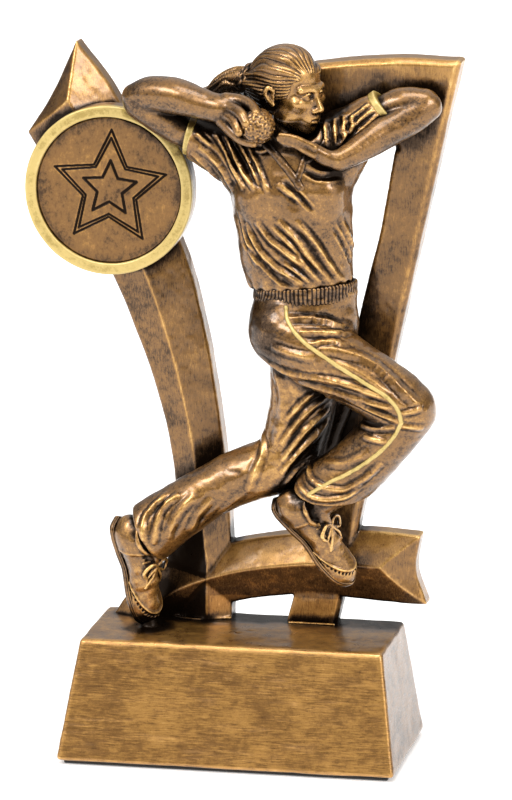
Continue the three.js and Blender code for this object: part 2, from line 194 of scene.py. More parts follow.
def half_space(at, normal, reach):
    """Everything on the side that normal points to, within reach of at."""
    normal = np.array(normal, float) / np.linalg.norm(normal)

    def distance(p):
        return -sum((p[k] - at[k]) * normal[k] for k in range(3))

    return Form(np.array(at) - reach, np.array(at) + reach, distance)


def to_segments(x, z, line):
    """Distance in a plane from points x, z to a line given as rows."""
    best = np.full(np.broadcast(x, z).shape, 1e9)
    for (ax, az), (bx, bz) in zip(line[:-1], line[1:]):
        dx, dz = bx - ax, bz - az
        t = np.clip(((x - ax) * dx + (z - az) * dz) / max(dx * dx + dz * dz, 1e-9), 0, 1)
        best = np.minimum(best, (x - ax - t * dx) ** 2 + (z - az - t * dz) ** 2)
    return np.sqrt(best)


def to_outline(x, z, outline):
    """Distance in a plane from points x, z to a closed outline, negative inside it."""
    inside = np.zeros(np.broadcast(x, z).shape, bool)
    for (ax, az), (bx, bz) in zip(outline, np.roll(outline, -1, 0)):
        if az != bz:
            inside ^= ((az > z) != (bz > z)) & (x < (bx - ax) * (z - az) / (bz - az) + ax)
    away = to_segments(x, z, np.vstack([outline, outline[:1]]))
    return np.where(inside, -away, away)


def rounded(a, b, edge):
    """The distance where two distances meet in a rounded edge."""
    a, b = a + edge, b + edge
    return np.minimum(np.maximum(a, b), 0) + np.hypot(np.maximum(a, 0), np.maximum(b, 0)) - edge


def plate(outline, front, back, edge):
    """An outline of [x, z] rows with depth, from front, a function of x and z, to back."""

    def distance(p):
        x, y, z = p
        flat = x[:, 0, :], z[:, 0, :]
        depth = np.maximum(front(*flat)[:, None, :] - y, y - back)
        return rounded(to_outline(*flat, outline)[:, None, :], depth, edge)

    low, high = outline.min(0), outline.max(0)
    return Form((low[0], 0, low[1]), (high[0], back, high[1]), distance)


# ------------------------------------------------------------------ fields: forms joined on a grid


class Field:
    """Distances on a grid, in millimetres, negative inside. place carries the grid into the trophy's frame."""

    every = []

    def __init__(self, low, high, step, place=None):
        self.low, self.step = np.array(low, float), step * COARSE
        size = np.ceil((np.array(high, float) - self.low) / self.step).astype(int) + 1
        self.d = np.full(size, FAR, np.float32)
        self.place = np.eye(4) if place is None else place
        Field.every.append(self)

    def window(self, low, high):
        """The part of the grid between two corners: where it is, and its coordinates."""
        i0 = np.clip(np.floor((low - self.low) / self.step).astype(int), 0, self.d.shape)
        i1 = np.clip(np.ceil((high - self.low) / self.step).astype(int) + 1, 0, self.d.shape)
        axes = [(self.low[k] + self.step * np.arange(i0[k], i1[k])).astype(np.float32) for k in range(3)]
        return tuple(slice(a, b) for a, b in zip(i0, i1)), np.meshgrid(*axes, indexing="ij", sparse=True)

    def meet(self, form, soft, sign):
        where, p = self.window(form.low - soft - 3 * self.step, form.high + soft + 3 * self.step)
        if not self.d[where].size:
            return self
        a, b = sign * self.d[where], form.distance(p).astype(np.float32)
        low = np.minimum(a, b)
        if soft:
            low = low - np.maximum(soft - np.abs(a - b), 0) ** 2 / (4 * soft)
        self.d[where] = sign * np.minimum(low, FAR)
        return self

    def join(self, form, soft=0.0):
        """Adds a form, with a fillet where soft is more than 0."""
        return self.meet(form, soft, 1)

    def cut(self, form, soft=0.0):
        """Takes a form away."""
        return self.meet(form, soft, -1)

    def trace(self, path, radius, soft):
        """Adds a round bar along a path."""
        for a, b in zip(path[:-1], path[1:]):
            self.join(cone(a, b, radius, radius), soft)
        return self

    def soften(self):
        """Rounds every edge a little."""
        for axis in range(3):
            d = np.moveaxis(self.d, axis, 0)
            d[1:-1] = 0.25 * d[:-2] + 0.5 * d[1:-1] + 0.25 * d[2:]

    def at(self, points):
        """The distance at rows of points in the trophy's frame."""
        inverse = np.linalg.inv(self.place)
        q = (np.asarray(points) @ inverse[:3, :3].T + inverse[:3, 3] - self.low) / self.step
        i = np.floor(q).astype(int)
        last = np.array(self.d.shape) - 2
        outside = ((i < 0) | (i > last)).any(1)
        i = np.clip(i, 0, last)
        f = np.clip(q - i, 0, 1)
        total = sum(corner_share(f, corner) * self.d[tuple((i + corner).T)] for corner in CORNERS)
        return np.where(outside, FAR, total)

    def face(self, x, z, back=False):
        """The depth of the first surface met at x, z, coming from the front, or from the back."""
        i = int(np.clip(round((x - self.low[0]) / self.step), 0, self.d.shape[0] - 1))
        k = int(np.clip(round((z - self.low[2]) / self.step), 0, self.d.shape[2] - 1))
        solid = np.nonzero(self.d[i, :, k] < 0)[0]
        if not len(solid):
            return None
        return self.low[1] + self.step * (solid[-1] if back else solid[0])

    def surface(self):
        """Points and quads of the surface, in the trophy's frame."""
        grid = openvdb.FloatGrid(FAR)
        grid.copyFromArray(np.ascontiguousarray(self.d))
        points, quads = grid.convertToQuads(isovalue=0.0)
        points = self.low + points * self.step
        return points @ self.place[:3, :3].T + self.place[:3, 3], quads


# ------------------------------------------------------------------ skins: meshes being finished


class Skin:
    """A field's surface while it is being finished: points, quads and, at each point, its normal."""

    def __init__(self, field, calm=2):
        self.field = field
        self.points, self.quads = field.surface()
        edges = np.vstack([self.quads[:, [k, (k + 1) % 4]] for k in range(4)]).astype(np.int64)
        edges = np.sort(edges, 1)
        key = np.unique(edges[:, 0] * len(self.points) + edges[:, 1])
        self.edges = np.stack([key // len(self.points), key % len(self.points)], 1)
        self.degree = np.bincount(self.edges.ravel(), minlength=len(self.points)).clip(1)
        self.points = self.relaxed(self.points, calm)

    def relaxed(self, values, times):
        """Each point's value moved half way to its neighbours' mean, that many times."""
        a, b = self.edges.T
        n = len(self.points)
        values = np.array(values, float)
        flat = values.reshape(n, -1)
        for _ in range(times):
            sums = [np.bincount(a, c[b], n) + np.bincount(b, c[a], n) for c in flat.T]
            flat = 0.5 * flat + 0.5 * np.stack(sums, 1) / self.degree[:, None]
        return flat.reshape(values.shape)

    @property
    def normals(self):
        p = self.points[self.quads]
        n = np.cross(p[:, 2] - p[:, 0], p[:, 3] - p[:, 1])
        count = len(self.points)
        sums = [sum(np.bincount(self.quads[:, k], n[:, c], count) for k in range(4)) for c in range(3)]
        total = np.stack(sums, 1)
        return total / np.maximum(np.linalg.norm(total, axis=1, keepdims=True), 1e-12)

    def raise_by(self, height):
        self.points = self.points + self.normals * height[:, None]

    def roughen(self, *layers, plus=0):
        """Raises the surface by layers of noise, each (height, size, seed), and by plus."""
        self.raise_by(plus + sum(h * lattice_noise(self.points, size, seed) for h, size, seed in layers))

    def folds(self, strokes, back=False):
        """Cloth folds. A stroke is (points as [x, z] rows, half-width, height); below 0 it is a crease."""
        height = np.zeros(len(self.points))
        for line, width, top in strokes:
            path = [(x, self.field.face(x, z, back), z) for x, z in smooth(line, 8)]
            path = [point for point in path if point[1] is not None]
            if len(path) > 2:
                height += ridge(self.points, np.array(path), width, top)
        self.raise_by(height)


def ridge(points, path, width, top):
    """A fold's height at points: a soft crest that fades at the path's ends, with a shallow trough beside."""
    reach = 3.2 * width
    near = ((points > path.min(0) - reach) & (points < path.max(0) + reach)).all(1)
    out = np.zeros(len(points))
    q = points[near]
    if not len(q):
        return out
    best, along = np.full(len(q), 1e9), np.zeros(len(q))
    for k in range(len(path) - 1):
        a, ba = path[k], path[k + 1] - path[k]
        t = np.clip(((q - a) @ ba) / max(ba @ ba, 1e-9), 0, 1)
        d = np.linalg.norm(q - a - t[:, None] * ba, axis=1)
        closer = d < best
        best = np.where(closer, d, best)
        along = np.where(closer, (k + t) / (len(path) - 1), along)
    u = best / width
    crest = np.exp(-(u**1.5)) - 0.3 * bump(u - 1.8, 0.6)
    out[near] = top * crest * np.sqrt(rise(np.minimum(along, 1 - along), 0.28))
    return out


# ------------------------------------------------------------------ materials


def node(tree, kind, **settings):
    made = tree.nodes.new(kind)
    for name, value in settings.items():
        if name in made.inputs:
            made.inputs[name].default_value = value
        else:
            setattr(made, name, value)
    return made


def sum_of(tree, *terms, start=0.0):
    """Adds up sockets, each times a number, from a starting number."""
    total = None
    for socket, weight in terms:
        step = node(tree, "ShaderNodeMath", operation="MULTIPLY_ADD")
        tree.links.new(socket, step.inputs[0])
        step.inputs[1].default_value = weight
        if total is None:
            step.inputs[2].default_value = start
        else:
            tree.links.new(total, step.inputs[2])
        total = step.outputs[0]
    return total


def ranged(tree, socket, low, high, to_low, to_high, easing="LINEAR"):
    """A socket's range mapped onto another."""
    made = node(tree, "ShaderNodeMapRange", interpolation_type=easing)
    for word, value in (("From Min", low), ("From Max", high), ("To Min", to_low), ("To Max", to_high)):
        made.inputs[word].default_value = value
    tree.links.new(socket, made.inputs["Value"])
    return made.outputs[0]


def noise(tree, size, detail, roughness=0.6):
    """Noise with features of that size in millimetres along the object's X, Y and Z."""
    mapped = node(tree, "ShaderNodeMapping", Scale=[1 / MM / s for s in size])
    tree.links.new(node(tree, "ShaderNodeTexCoord").outputs["Object"], mapped.inputs["Vector"])
    made = node(tree, "ShaderNodeTexNoise", Scale=1.0, Detail=detail, Roughness=roughness)
    tree.links.new(mapped.outputs[0], made.inputs["Vector"])
    return made.outputs["Fac"]


def coloured(tree, socket, colours, easing="LINEAR"):
    """A socket turned into a colour. colours are [position, (r, g, b)] in rising order."""
    ramp = node(tree, "ShaderNodeValToRGB")
    ramp.color_ramp.interpolation = easing
    elements = ramp.color_ramp.elements
    while len(elements) < len(colours):
        elements.new(0.5)
    for element, (position, colour) in zip(elements, colours):
        element.position = position
        element.color = (*colour, 1)
    tree.links.new(socket, ramp.inputs[0])
    return ramp.outputs[0]


def relief(tree, shader, height, strength, deep):
    """Makes the surface look that many millimetres deep."""
    made = node(tree, "ShaderNodeBump", Strength=strength, Distance=deep * MM)
    tree.links.new(height, made.inputs["Height"])
    tree.links.new(made.outputs[0], shader.inputs["Normal"])


def new_material(name, **constants):
    """A material with one shader. The constants are the shader's own words, with _ for each space."""
    material = bpy.data.materials.new(name)
    material.use_nodes = True
    shader = material.node_tree.nodes["Principled BSDF"]
    for word, value in constants.items():
        shader.inputs[word.replace("_", " ")].default_value = value
    return material, material.node_tree, shader


def antique(name, colours, metallic=0.7, rough=0.34, grain=(1, 1, 1), wash=1.0, lift=0.0, dents=0.3,
            coat=0.8, brushed=0.65, pitted=0.3):
    """Antique gold: a ramp from the dark wash to rubbed metal, led by how proud each point is and by its wash
    and painted shade.

    grain is the brushing's size in millimetres along X, Y and Z. brushed and pitted say how strongly the
    brushing and the casting's pores show, wash how dark the wash and the painted shade are, and lift how far
    all of it is rubbed back.
    """
    material, tree, shader = new_material(name, Metallic=metallic, Coat_Roughness=0.17)
    proud = node(tree, "ShaderNodeAttribute", attribute_name="proud").outputs["Fac"]
    # The second attribute carries the dark wash of the recesses together with painted shade.
    wash_and_shade = node(tree, "ShaderNodeAttribute", attribute_name="wash_and_shade").outputs["Fac"]
    clouds = noise(tree, (8, 8, 6), 3)
    blotches = noise(tree, (1.5, 1.5, 1.2), 4, 0.7)
    brushing = noise(tree, [0.45 * g for g in grain], 5, 0.75)
    fleck = noise(tree, (0.3, 0.3, 0.3), 3, 0.8)
    pits = ranged(tree, noise(tree, (0.9, 0.9, 0.7), 3, 0.75), 0.3, 0.4, -0.3, 0.0)

    marks = ((clouds, 0.55), (blotches, 0.4), (brushing, brushed), (fleck, 0.22))
    middle = 0.52 + lift - 0.5 * sum(weight for _, weight in marks)
    level = sum_of(tree, (proud, 1.1), (wash_and_shade, -0.8 * wash), (pits, pitted), *marks, start=middle)
    sockets = {
        "Base Color": coloured(tree, level, colours, "EASE"),
        "Roughness": ranged(tree, brushing, 0.3, 0.7, rough - 0.08, rough + 0.1),
        # The wash is a dull glaze: it shines less than the metal beside it.
        "Coat Weight": ranged(tree, level, 0.05, 0.38, 0.12 * coat, coat),
        "Specular IOR Level": ranged(tree, level, 0.05, 0.38, 0.12, 0.5),
    }
    for word, socket in sockets.items():
        tree.links.new(socket, shader.inputs[word])
    height = sum_of(tree, (brushing, 1.0), (blotches, 0.8), (fleck, 0.4), (pits, 2.5 * pitted))
    relief(tree, shader, height, dents, 0.06)
    return material


CAST = [
    (0.02, (0.010, 0.005, 0.002)),
    (0.24, (0.055, 0.026, 0.008)),
    (0.5, (0.215, 0.102, 0.024)),
    (0.76, (0.44, 0.226, 0.054)),
    (1.0, (0.74, 0.45, 0.145)),
]
PAINT = [(0.05, (0.08, 0.045, 0.01)), (0.3, (0.36, 0.25, 0.06)), (0.5, (0.56, 0.41, 0.13)),
         (0.9, (0.7, 0.53, 0.21))]

figure_metal = antique("cast_bronze_figure", CAST, rough=0.31, lift=-0.055, wash=1.05, dents=0.4,
                       brushed=0.8, pitted=0.2)
# The face is a lighter copy of the figure's bronze with less wash: painted light on the face.
face_metal = antique("cast_bronze_face", CAST, rough=0.26, wash=0.6, lift=0.12, pitted=0.1)
hair_metal = antique("cast_bronze_hair", CAST, rough=0.27, lift=-0.04, grain=(0.7, 0.7, 0.7), pitted=0.1)
frame_metal = antique("cast_bronze_frame", CAST, rough=0.33, lift=-0.05, grain=(0.5, 0.5, 2.6), wash=0.85,
                      coat=0.6, brushed=0.8)
base_metal = antique("cast_bronze_base", CAST, rough=0.32, lift=0.1, grain=(6.0, 6.0, 0.35), dents=0.4,
                     brushed=0.8, coat=0.65)
insert_metal = antique("cast_bronze_insert", CAST, rough=0.38, lift=-0.04, grain=(1.4, 1.4, 2.2), coat=0.4,
                       pitted=0.1)
dark_metal = antique("cast_bronze_dark", CAST, rough=0.32, lift=-0.22, pitted=0.2)
gold_paint = antique("gold_paint", PAINT, metallic=0.3, rough=0.38, wash=0.6, lift=-0.09, dents=0.12,
                     coat=0.3,
                     brushed=0.4, pitted=0.1)


def felt_material():
    material, tree, shader = new_material("black_felt", Roughness=0.95, Sheen_Weight=0.4)
    fibres = noise(tree, (0.385, 0.385, 0.385), 6, 0.8)
    colours = [(0, (0.006, 0.006, 0.007)), (1, (0.05, 0.048, 0.045))]
    tree.links.new(coloured(tree, fibres, colours), shader.inputs["Base Color"])
    relief(tree, shader, fibres, 0.6, 0.1)
    return material


def steel_material():
    """Drawn steel for the armature rods and the shoe pin, which are inside the casting."""
    material, tree, shader = new_material("drawn_steel", Metallic=1.0)
    lines = noise(tree, (0.25, 0.25, 3.3), 5, 0.5)
    colours = [(0, (0.32, 0.32, 0.33)), (1, (0.62, 0.62, 0.61))]
    tree.links.new(coloured(tree, lines, colours), shader.inputs["Base Color"])
    tree.links.new(ranged(tree, lines, 0.3, 0.7, 0.22, 0.42), shader.inputs["Roughness"])
    return material


def dress_hidden_steel():
    steel = steel_material()
    for name in ("left_armature_rod", "right_armature_rod", "shoe_pin"):
        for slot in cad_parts[name].material_slots:
            slot.material = steel


# ------------------------------------------------------------------ objects

finished = []


def piece(skin, name, material, slot, *nodes, spread=12, stain_and_shade=0.0):
    """Puts a finished skin aside. spread is how wide rubbed edges are; stain adds wash and painted shade, and
    lightens below 0.
    """
    finished.append((skin, name, material, slot, nodes, spread, stain_and_shade))


def whole_field():
    """A coarse field of every piece together, for finding where pieces shut each other in."""
    margin = 8
    whole = Field(np.array(cad_box[0]) / MM - margin, np.array(cad_box[1]) / MM + margin, 0.6)
    for field in Field.every[:-1]:
        far = field.low + field.step * (np.array(field.d.shape) - 1)
        corners = np.array([np.where(corner, far, field.low) for corner in CORNERS])
        corners = corners @ field.place[:3, :3].T + field.place[:3, 3]
        where, axes = whole.window(corners.min(0), corners.max(0))
        points = np.stack([c.ravel() for c in np.broadcast_arrays(*axes)], 1)
        here = whole.d[where]
        whole.d[where] = np.minimum(here, field.at(points).reshape(here.shape))
    return whole


def shut_in_and_shaded(skin, whole):
    """How shut in each point is, from 0 to 1: how near the next surface is, at several distances out. Close in
    it stands for the dark wash, and farther out, between pieces, for painted shade.
    """
    normals = skin.normals
    shut = 0
    for reach, weight in ((0.8, 0.2), (1.6, 0.25), (3.0, 0.25), (5.0, 0.2), (8.0, 0.2)):
        room = whole.at(skin.points + normals * reach)
        shut += weight * np.clip(1 - room / min(reach, FAR), 0, 1)
    # Painted shade: darker underneath, and on sides that face left.
    painted_shade = 0.2 * np.clip(-normals[:, 2], 0, 1) + 0.24 * np.clip(-normals[:, 0] - 0.1, 0, 1)
    return skin.relaxed(rise(shut - 0.1, 0.6) + painted_shade, 2)


def rubbed(skin, spread):
    """How far each point stands proud of its own smoothed shape, closely and broadly."""
    normals, step = skin.normals, skin.field.step
    fine = skin.relaxed(skin.points, 3)
    broad = skin.relaxed(fine, spread)
    small = ((skin.points - fine) * normals).sum(1)
    large = ((skin.points - broad) * normals).sum(1)
    return np.clip(small / (0.2 * step), -1, 1) * 0.16 + np.clip(large / (0.9 * step), -1, 1) * 0.37


def mesh_of(name, points, quads):
    mesh = bpy.data.meshes.new(name)
    mesh.vertices.add(len(points))
    mesh.vertices.foreach_set("co", (points * MM).astype(np.float32).ravel())
    mesh.loops.add(quads.size)
    mesh.loops.foreach_set("vertex_index", quads.astype(np.int32).ravel())
    mesh.polygons.add(len(quads))
    mesh.polygons.foreach_set("loop_start", np.arange(0, quads.size, 4, dtype=np.int32))
    mesh.polygons.foreach_set("use_smooth", np.ones(len(quads), bool))
    mesh.update(calc_edges=True)
    mesh.validate()
    return mesh


def make_objects():
    whole = whole_field()
    for skin, name, material, slot, nodes, spread, stain_and_shade in finished:
        mesh = mesh_of(name, skin.points, skin.quads)
        for word, values in (("proud", rubbed(skin, spread)), ("wash_and_shade", shut_in_and_shaded(skin, whole) + stain_and_shade)):
            mesh.attributes.new(word, "FLOAT", "POINT").data.foreach_set("value", values.astype(np.float32))
        made = bpy.data.objects.new(name, mesh)
        bpy.context.collection.objects.link(made)
        mesh.materials.append(material)
        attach(made, "root")
        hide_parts(*nodes)


# ------------------------------------------------------------------ base and felt


def block(low_size, high_size, low, high, back, edge):
    """A wedge-sided block with rounded edges, its top set back."""
    planes = []
    for axis in (0, 1):
        for side in (-1, 1):
            foot = side * low_size[axis] / 2
            top = side * high_size[axis] / 2 + (back if axis else 0)
            normal = np.zeros(3)
            normal[axis], normal[2] = side * (high - low), -side * (top - foot)
            at = np.zeros(3)
            at[axis], at[2] = foot, low
            planes.append((at, normal / np.linalg.norm(normal)))

    def distance(p):
        sides = [sum((p[k] - at[k]) * n[k] for k in range(3)) + edge for at, n in planes]
        ends = np.maximum(low - p[2], p[2] - high) + edge
        x = np.maximum(sides[0], sides[1])
        y = np.maximum(sides[2], sides[3])
        inner = np.minimum(np.maximum(np.maximum(x, y), ends), 0)
        return inner + np.sqrt(sum(np.maximum(c, 0) ** 2 for c in (x, y, ends))) - edge

    half = np.array(low_size) / 2
    return Form((-half[0], -half[1], low), (half[0], half[1], high), distance)


FELT = 0.8
BASE_TOP = 21.5
BASE_LOW, BASE_HIGH, BASE_BACK = (60, 32.4), (53.8, 23.3), 1.3


def make_base():
    field = Field((-31.5, -17.5, -0.5), (31.5, 17.5, 23.5), 0.3)
    field.join(block(BASE_LOW, BASE_HIGH, FELT, BASE_TOP, BASE_BACK, 0.55))
    # Casting flaws: shallow pits in the top near the feet, and a few in the front.
    pits = (-0.4, -1.5, 0.42), (1.4, 0.4, 0.3), (-1.6, 1.0, 0.26), (20.5, -2.6, 0.3), (12.5, 1.5, 0.25)
    for x, y, r in pits:
        field.cut(ellipsoid((x, y, BASE_TOP + 0.1), (r, r * 0.8, 0.4)), 0.2)
    slope = ((BASE_LOW[1] - BASE_HIGH[1]) / 2 + BASE_BACK) / (BASE_TOP - FELT)
    for x, z, r in ((11.8, 12.9, 0.3), (-27.6, 8.2, 0.25), (2.5, 5.5, 0.2)):
        y = slope * (z - FELT) - BASE_LOW[1] / 2
        field.cut(ellipsoid((x, y, z), (r, 0.3, r * 0.8)), 0.15)
    # A bead of resin round the trailing shoe's pin.
    field.join(limb([(-16.5, 0.6, 21.2, 1.7), (-16.8, 0.6, 23.2, 1.3)]), 0.4)
    field.soften()
    skin = Skin(field)
    x, y, z = skin.points.T
    skin.roughen((0.1, (9, 9, 6), 1), (0.05, (3, 3, 2.2), 2), (0.018, (2.4, 2.4, 0.34), 3))
    # Painted shade on the sides that face right, and the top darker round the bead.
    right_side_shade = np.clip(skin.normals[:, 0], 0, 1)
    near_bead = rise(5.2 - np.hypot(x + 16.8, y - 0.6), 4) * (z > BASE_TOP - 0.4)
    piece(skin, "base_casting", base_metal, "cast_bronze", "base_block", spread=3,
          stain_and_shade=0.3 * right_side_shade + 0.7 * near_bead)

    felt = Field((-30, -16, -0.6), (30, 16, 1.6), 0.25)
    felt.join(block((57.6, 30.0), (57.6, 30.0), 0.02, FELT, 0, 0.2))
    piece(Skin(felt), "felt_sheet", felt_material(), "felt", "felt_pad")


# ------------------------------------------------------------------ frame

BACK, EDGE, FACE = 12.5, 8.4, 7.0


def rises(x, z, left, right, end, slopes):
    """How far a bar's front rises at x, z from its left edge, its right edge and its end."""
    on_left, on_right, on_end = slopes(z)
    rows = on_left * to_segments(x, z, left), on_right * to_segments(x, z, right), on_end * to_segments(x, z,
                                                                                                        end)
    return np.array(rows)


def roof(*bar):
    """The front of a ridged bar: the lowest of its rises."""
    return lambda x, z: EDGE - rises(x, z, *bar).min(0)


def blade_slopes(z):
    """The blade's facets: its ridge wanders to the right near the base, and the fishtail is steeper."""
    foot = rise(46 - z, 14)
    tail = rise(z - 98, 8)
    return 0.42 - 0.14 * foot, 0.36 + 0.18 * foot + 0.3 * tail, 1.3


def beam_slopes(z):
    return 0.5, 0.43, 0.5


def make_frame():
    field = Field((-41.5, 2.0, 18.0), (39.5, 13.6, 125.5), 0.25)
    # The blade, base to fishtail.
    left = smooth([(-15.8, 10), (-15.6, 24), (-15.0, 34), (-13.7, 46), (-16.2, 60.1), (-20.2, 72),
                   (-24.7, 82.6), (-32, 95.2), (-39.9, 107.7)])
    right = smooth([(-3.5, 10), (-3.4, 24), (-3.7, 40), (-4.8, 52), (-6.7, 65.3), (-9.7, 80.4), (-14.6, 94),
                    (-23.5, 113.9), (-31.0, 124.2)])
    end = smooth([(-39.9, 107.7), (-35.2, 115.0), (-31.0, 124.2)])
    outline = np.vstack([left, end[1:-1], right[::-1]])
    blade = (left, right, end, blade_slopes)
    field.join(plate(outline, roof(*blade), BACK, 0.35))
    # The cross beam.
    top = smooth([(-27, 18), (-21.5, 26), (-15, 31.6), (-3.6, 35.4), (7.3, 37.5), (20, 38.7), (30.4, 38.2)])
    low = smooth([(-18, 12), (-12.6, 19.6), (-3.6, 24.3), (7.6, 26.3), (16.1, 26.4), (27, 25.7),
                  (31.7, 25.7)])
    tail = smooth([(30.4, 38.2), (29.6, 32), (31.7, 25.7)])
    outline = np.vstack([top, tail[1:-1], low[::-1]])
    beam = (top, low, tail, beam_slopes)
    field.join(plate(outline, roof(*beam), BACK, 0.35), 0.1)
    # The post and the top blade, one flat angular bar.
    post_left = smooth([(3.4, 10), (6.5, 21.5), (14.2, 53), (16.6, 64), (20.4, 81.8), (23.3, 93.3),
                        (25.7, 107.4)])
    post_right = smooth([(12.6, 8), (15.6, 21.7), (21, 46.9), (29.7, 88.5), (34.4, 110.3), (37.1, 122.5)])
    blade_low = smooth([(25.7, 107.4), (23.4, 110.2), (16.8, 111.0), (4, 112.0), (-9.5, 114.2)])
    blade_top = smooth([(-9.5, 115.9), (-1, 118.8), (12.3, 121.7), (25.7, 123), (36.6, 122.9)])
    rim = np.vstack([blade_top, post_right[::-1]])
    outline = np.vstack([post_left, blade_low[1:], rim])

    def chamfered(x, z):
        outer = np.maximum(0.9 - to_segments(x, z, rim), 0)
        inner = 0.6 * np.maximum(1.0 - to_segments(x, z, blade_low), 0)
        return FACE + outer + inner + 1.1 * rise(33 - z, 3)  # its foot stands back, under the beam

    field.join(plate(outline, chamfered, BACK, 0.35))
    # Beads of resin where the blade and the post meet the base.
    field.join(limb([(-15.5, 8.3, 21.6, 0.35), (-9.4, 6.2, 21.6, 0.35), (-3.6, 8.2, 21.6, 0.35)]), 0.2)
    field.join(cone((7.2, 7.1, 21.6), (15.2, 7.1, 21.6), 0.35, 0.35), 0.2)
    skin = Skin(field)
    skin.roughen((0.09, 7, 11), (0.05, (2.3, 2.3, 2.6), 12), (0.02, (0.8, 0.8, 0.9), 13))
    # Ridges are rubbed bright. Painted shadow darkens the blade's left facet behind the shoe, and painted
    # shade darkens every underside.
    x, y, z = skin.points.T
    up = skin.normals[:, 2]
    ridge_rub, shoe_shadow = 0, 0
    for bar in (blade, beam):
        risen = rises(x, z, *bar)
        lowest, second, _ = np.sort(risen, axis=0)
        on_bar = np.abs(y - EDGE + lowest) < 0.35
        ridge_rub = np.maximum(ridge_rub, on_bar * np.clip(1 - (second - lowest) / 0.16, 0,
                                                           1) * (lowest > 0.8))
        if bar is blade:
            shoe_shadow = on_bar * rise(44 - z, 8) * rise(risen[1] - risen[0], 0.2)
    # Painted highlight on the beam's upper facet where it faces up; the top blade, the fishtail and the feet
    # are painted lighter too.
    in_beam = (z < 39.5) & (x > -6) & (z > 27)
    lightened = 0.9 * in_beam * np.clip(up - 0.1, 0, 0.5) + 0.3 * rise(z - 110, 4) * (x > -20)
    lightened += 0.08 * rise(z - 106, 4) * (x < -20) + 0.3 * (z < 26) * (x > -7) * (y < 9)
    stain_and_shade = 0.7 * shoe_shadow + 0.8 * np.clip(-up - 0.1, 0, 0.4) - lightened - 0.4 * ridge_rub
    piece(
        skin, "frame_casting", frame_metal, "cast_bronze",
        "left_blade", "left_blade_foot", "cross_beam", "right_post", "right_post_foot", "top_blade",
        spread=6, stain_and_shade=stain_and_shade,
    )


# ------------------------------------------------------------------ medal

MEDAL = np.array([-23.8, 0.0, 99.2])
RIM, RECESS = 14.9, 12.9


def drum(radius, front, back, edge):
    """A disc facing the front, with rounded edges."""

    def distance(p):
        across = np.hypot(p[0] - MEDAL[0], p[2] - MEDAL[2]) - radius
        return rounded(across, np.maximum(front - p[1], p[1] - back), edge)

    reach = np.array([radius, 0, radius])
    return Form(MEDAL - reach + (0, front, 0), MEDAL + reach + (0, back, 0), distance)


def star(radius, notch):
    """A closed five-pointed outline. notch is how far in the inner corners are, as a share of the radius."""
    angle = math.radians(87.8) + np.arange(11) * np.pi / 5
    r = np.where(np.arange(11) % 2, radius * notch, radius)
    return np.stack([MEDAL[0] + 0.15 + r * np.cos(angle), MEDAL[2] + 0.25 + r * np.sin(angle)], 1)


def make_medal():
    left, low, right, top = MEDAL[0] - 16, MEDAL[2] - 16, MEDAL[0] + 16, MEDAL[2] + 16
    dish = Field((left, 1.5, low), (right, 7.5, top), 0.24).join(drum(RIM, 1.9, 5.7, 0.4))
    skin = Skin(dish)
    skin.roughen((0.05, 4, 21))
    piece(skin, "medal_dish", frame_metal, "cast_bronze", "medal_backplate", spread=5)

    rim = Field((left, 0.2, low), (right, 3.4, top), 0.16)
    rim.join(drum(RIM, 1.0, 2.7, 0.28)).cut(drum(RECESS, -2, 6, 0.1), 0.35)
    skin = Skin(rim)
    skin.roughen((0.035, 2.2, 22))
    piece(skin, "gold_rim", gold_paint, "gold_paint", "medal_rim", spread=4)

    # The insert: grooves follow three star outlines, each an engraved line.
    insert = Field((left + 3, 0.6, low + 3), (right - 3, 3.4, top - 3), 0.125)
    skin = Skin(insert.join(drum(RECESS - 0.04, 1.65, 2.9, 0.2)))
    x, y, z = skin.points.T
    depth, shoulder = 0, 0
    for radius, notch, wide in ((10.4, 0.48, 0.14), (8.95, 0.5, 0.14), (4.95, 0.47, 0.18)):
        d = to_segments(x, z, star(radius, notch))
        depth = np.maximum(depth, np.clip(1.6 - d / wide, 0, 1))
        shoulder = np.maximum(shoulder, np.clip(2.6 - d / wide, 0, 1))
    depth = np.where(y < 2.2, depth, 0)
    # Painted shade: the insert darkens towards the rim.
    around = rise(np.hypot(x - MEDAL[0], z - MEDAL[2]) - RECESS + 2.6, 2.6)
    skin.points[:, 1] += 0.2 * depth
    skin.roughen((0.03, 2.5, 23))
    stain_and_shade = 1.4 * depth + 0.3 * shoulder + 0.28 * around**2
    piece(skin, "star_insert", insert_metal, "cast_bronze", "medal_insert", spread=2, stain_and_shade=stain_and_shade)


# ------------------------------------------------------------------ trousers


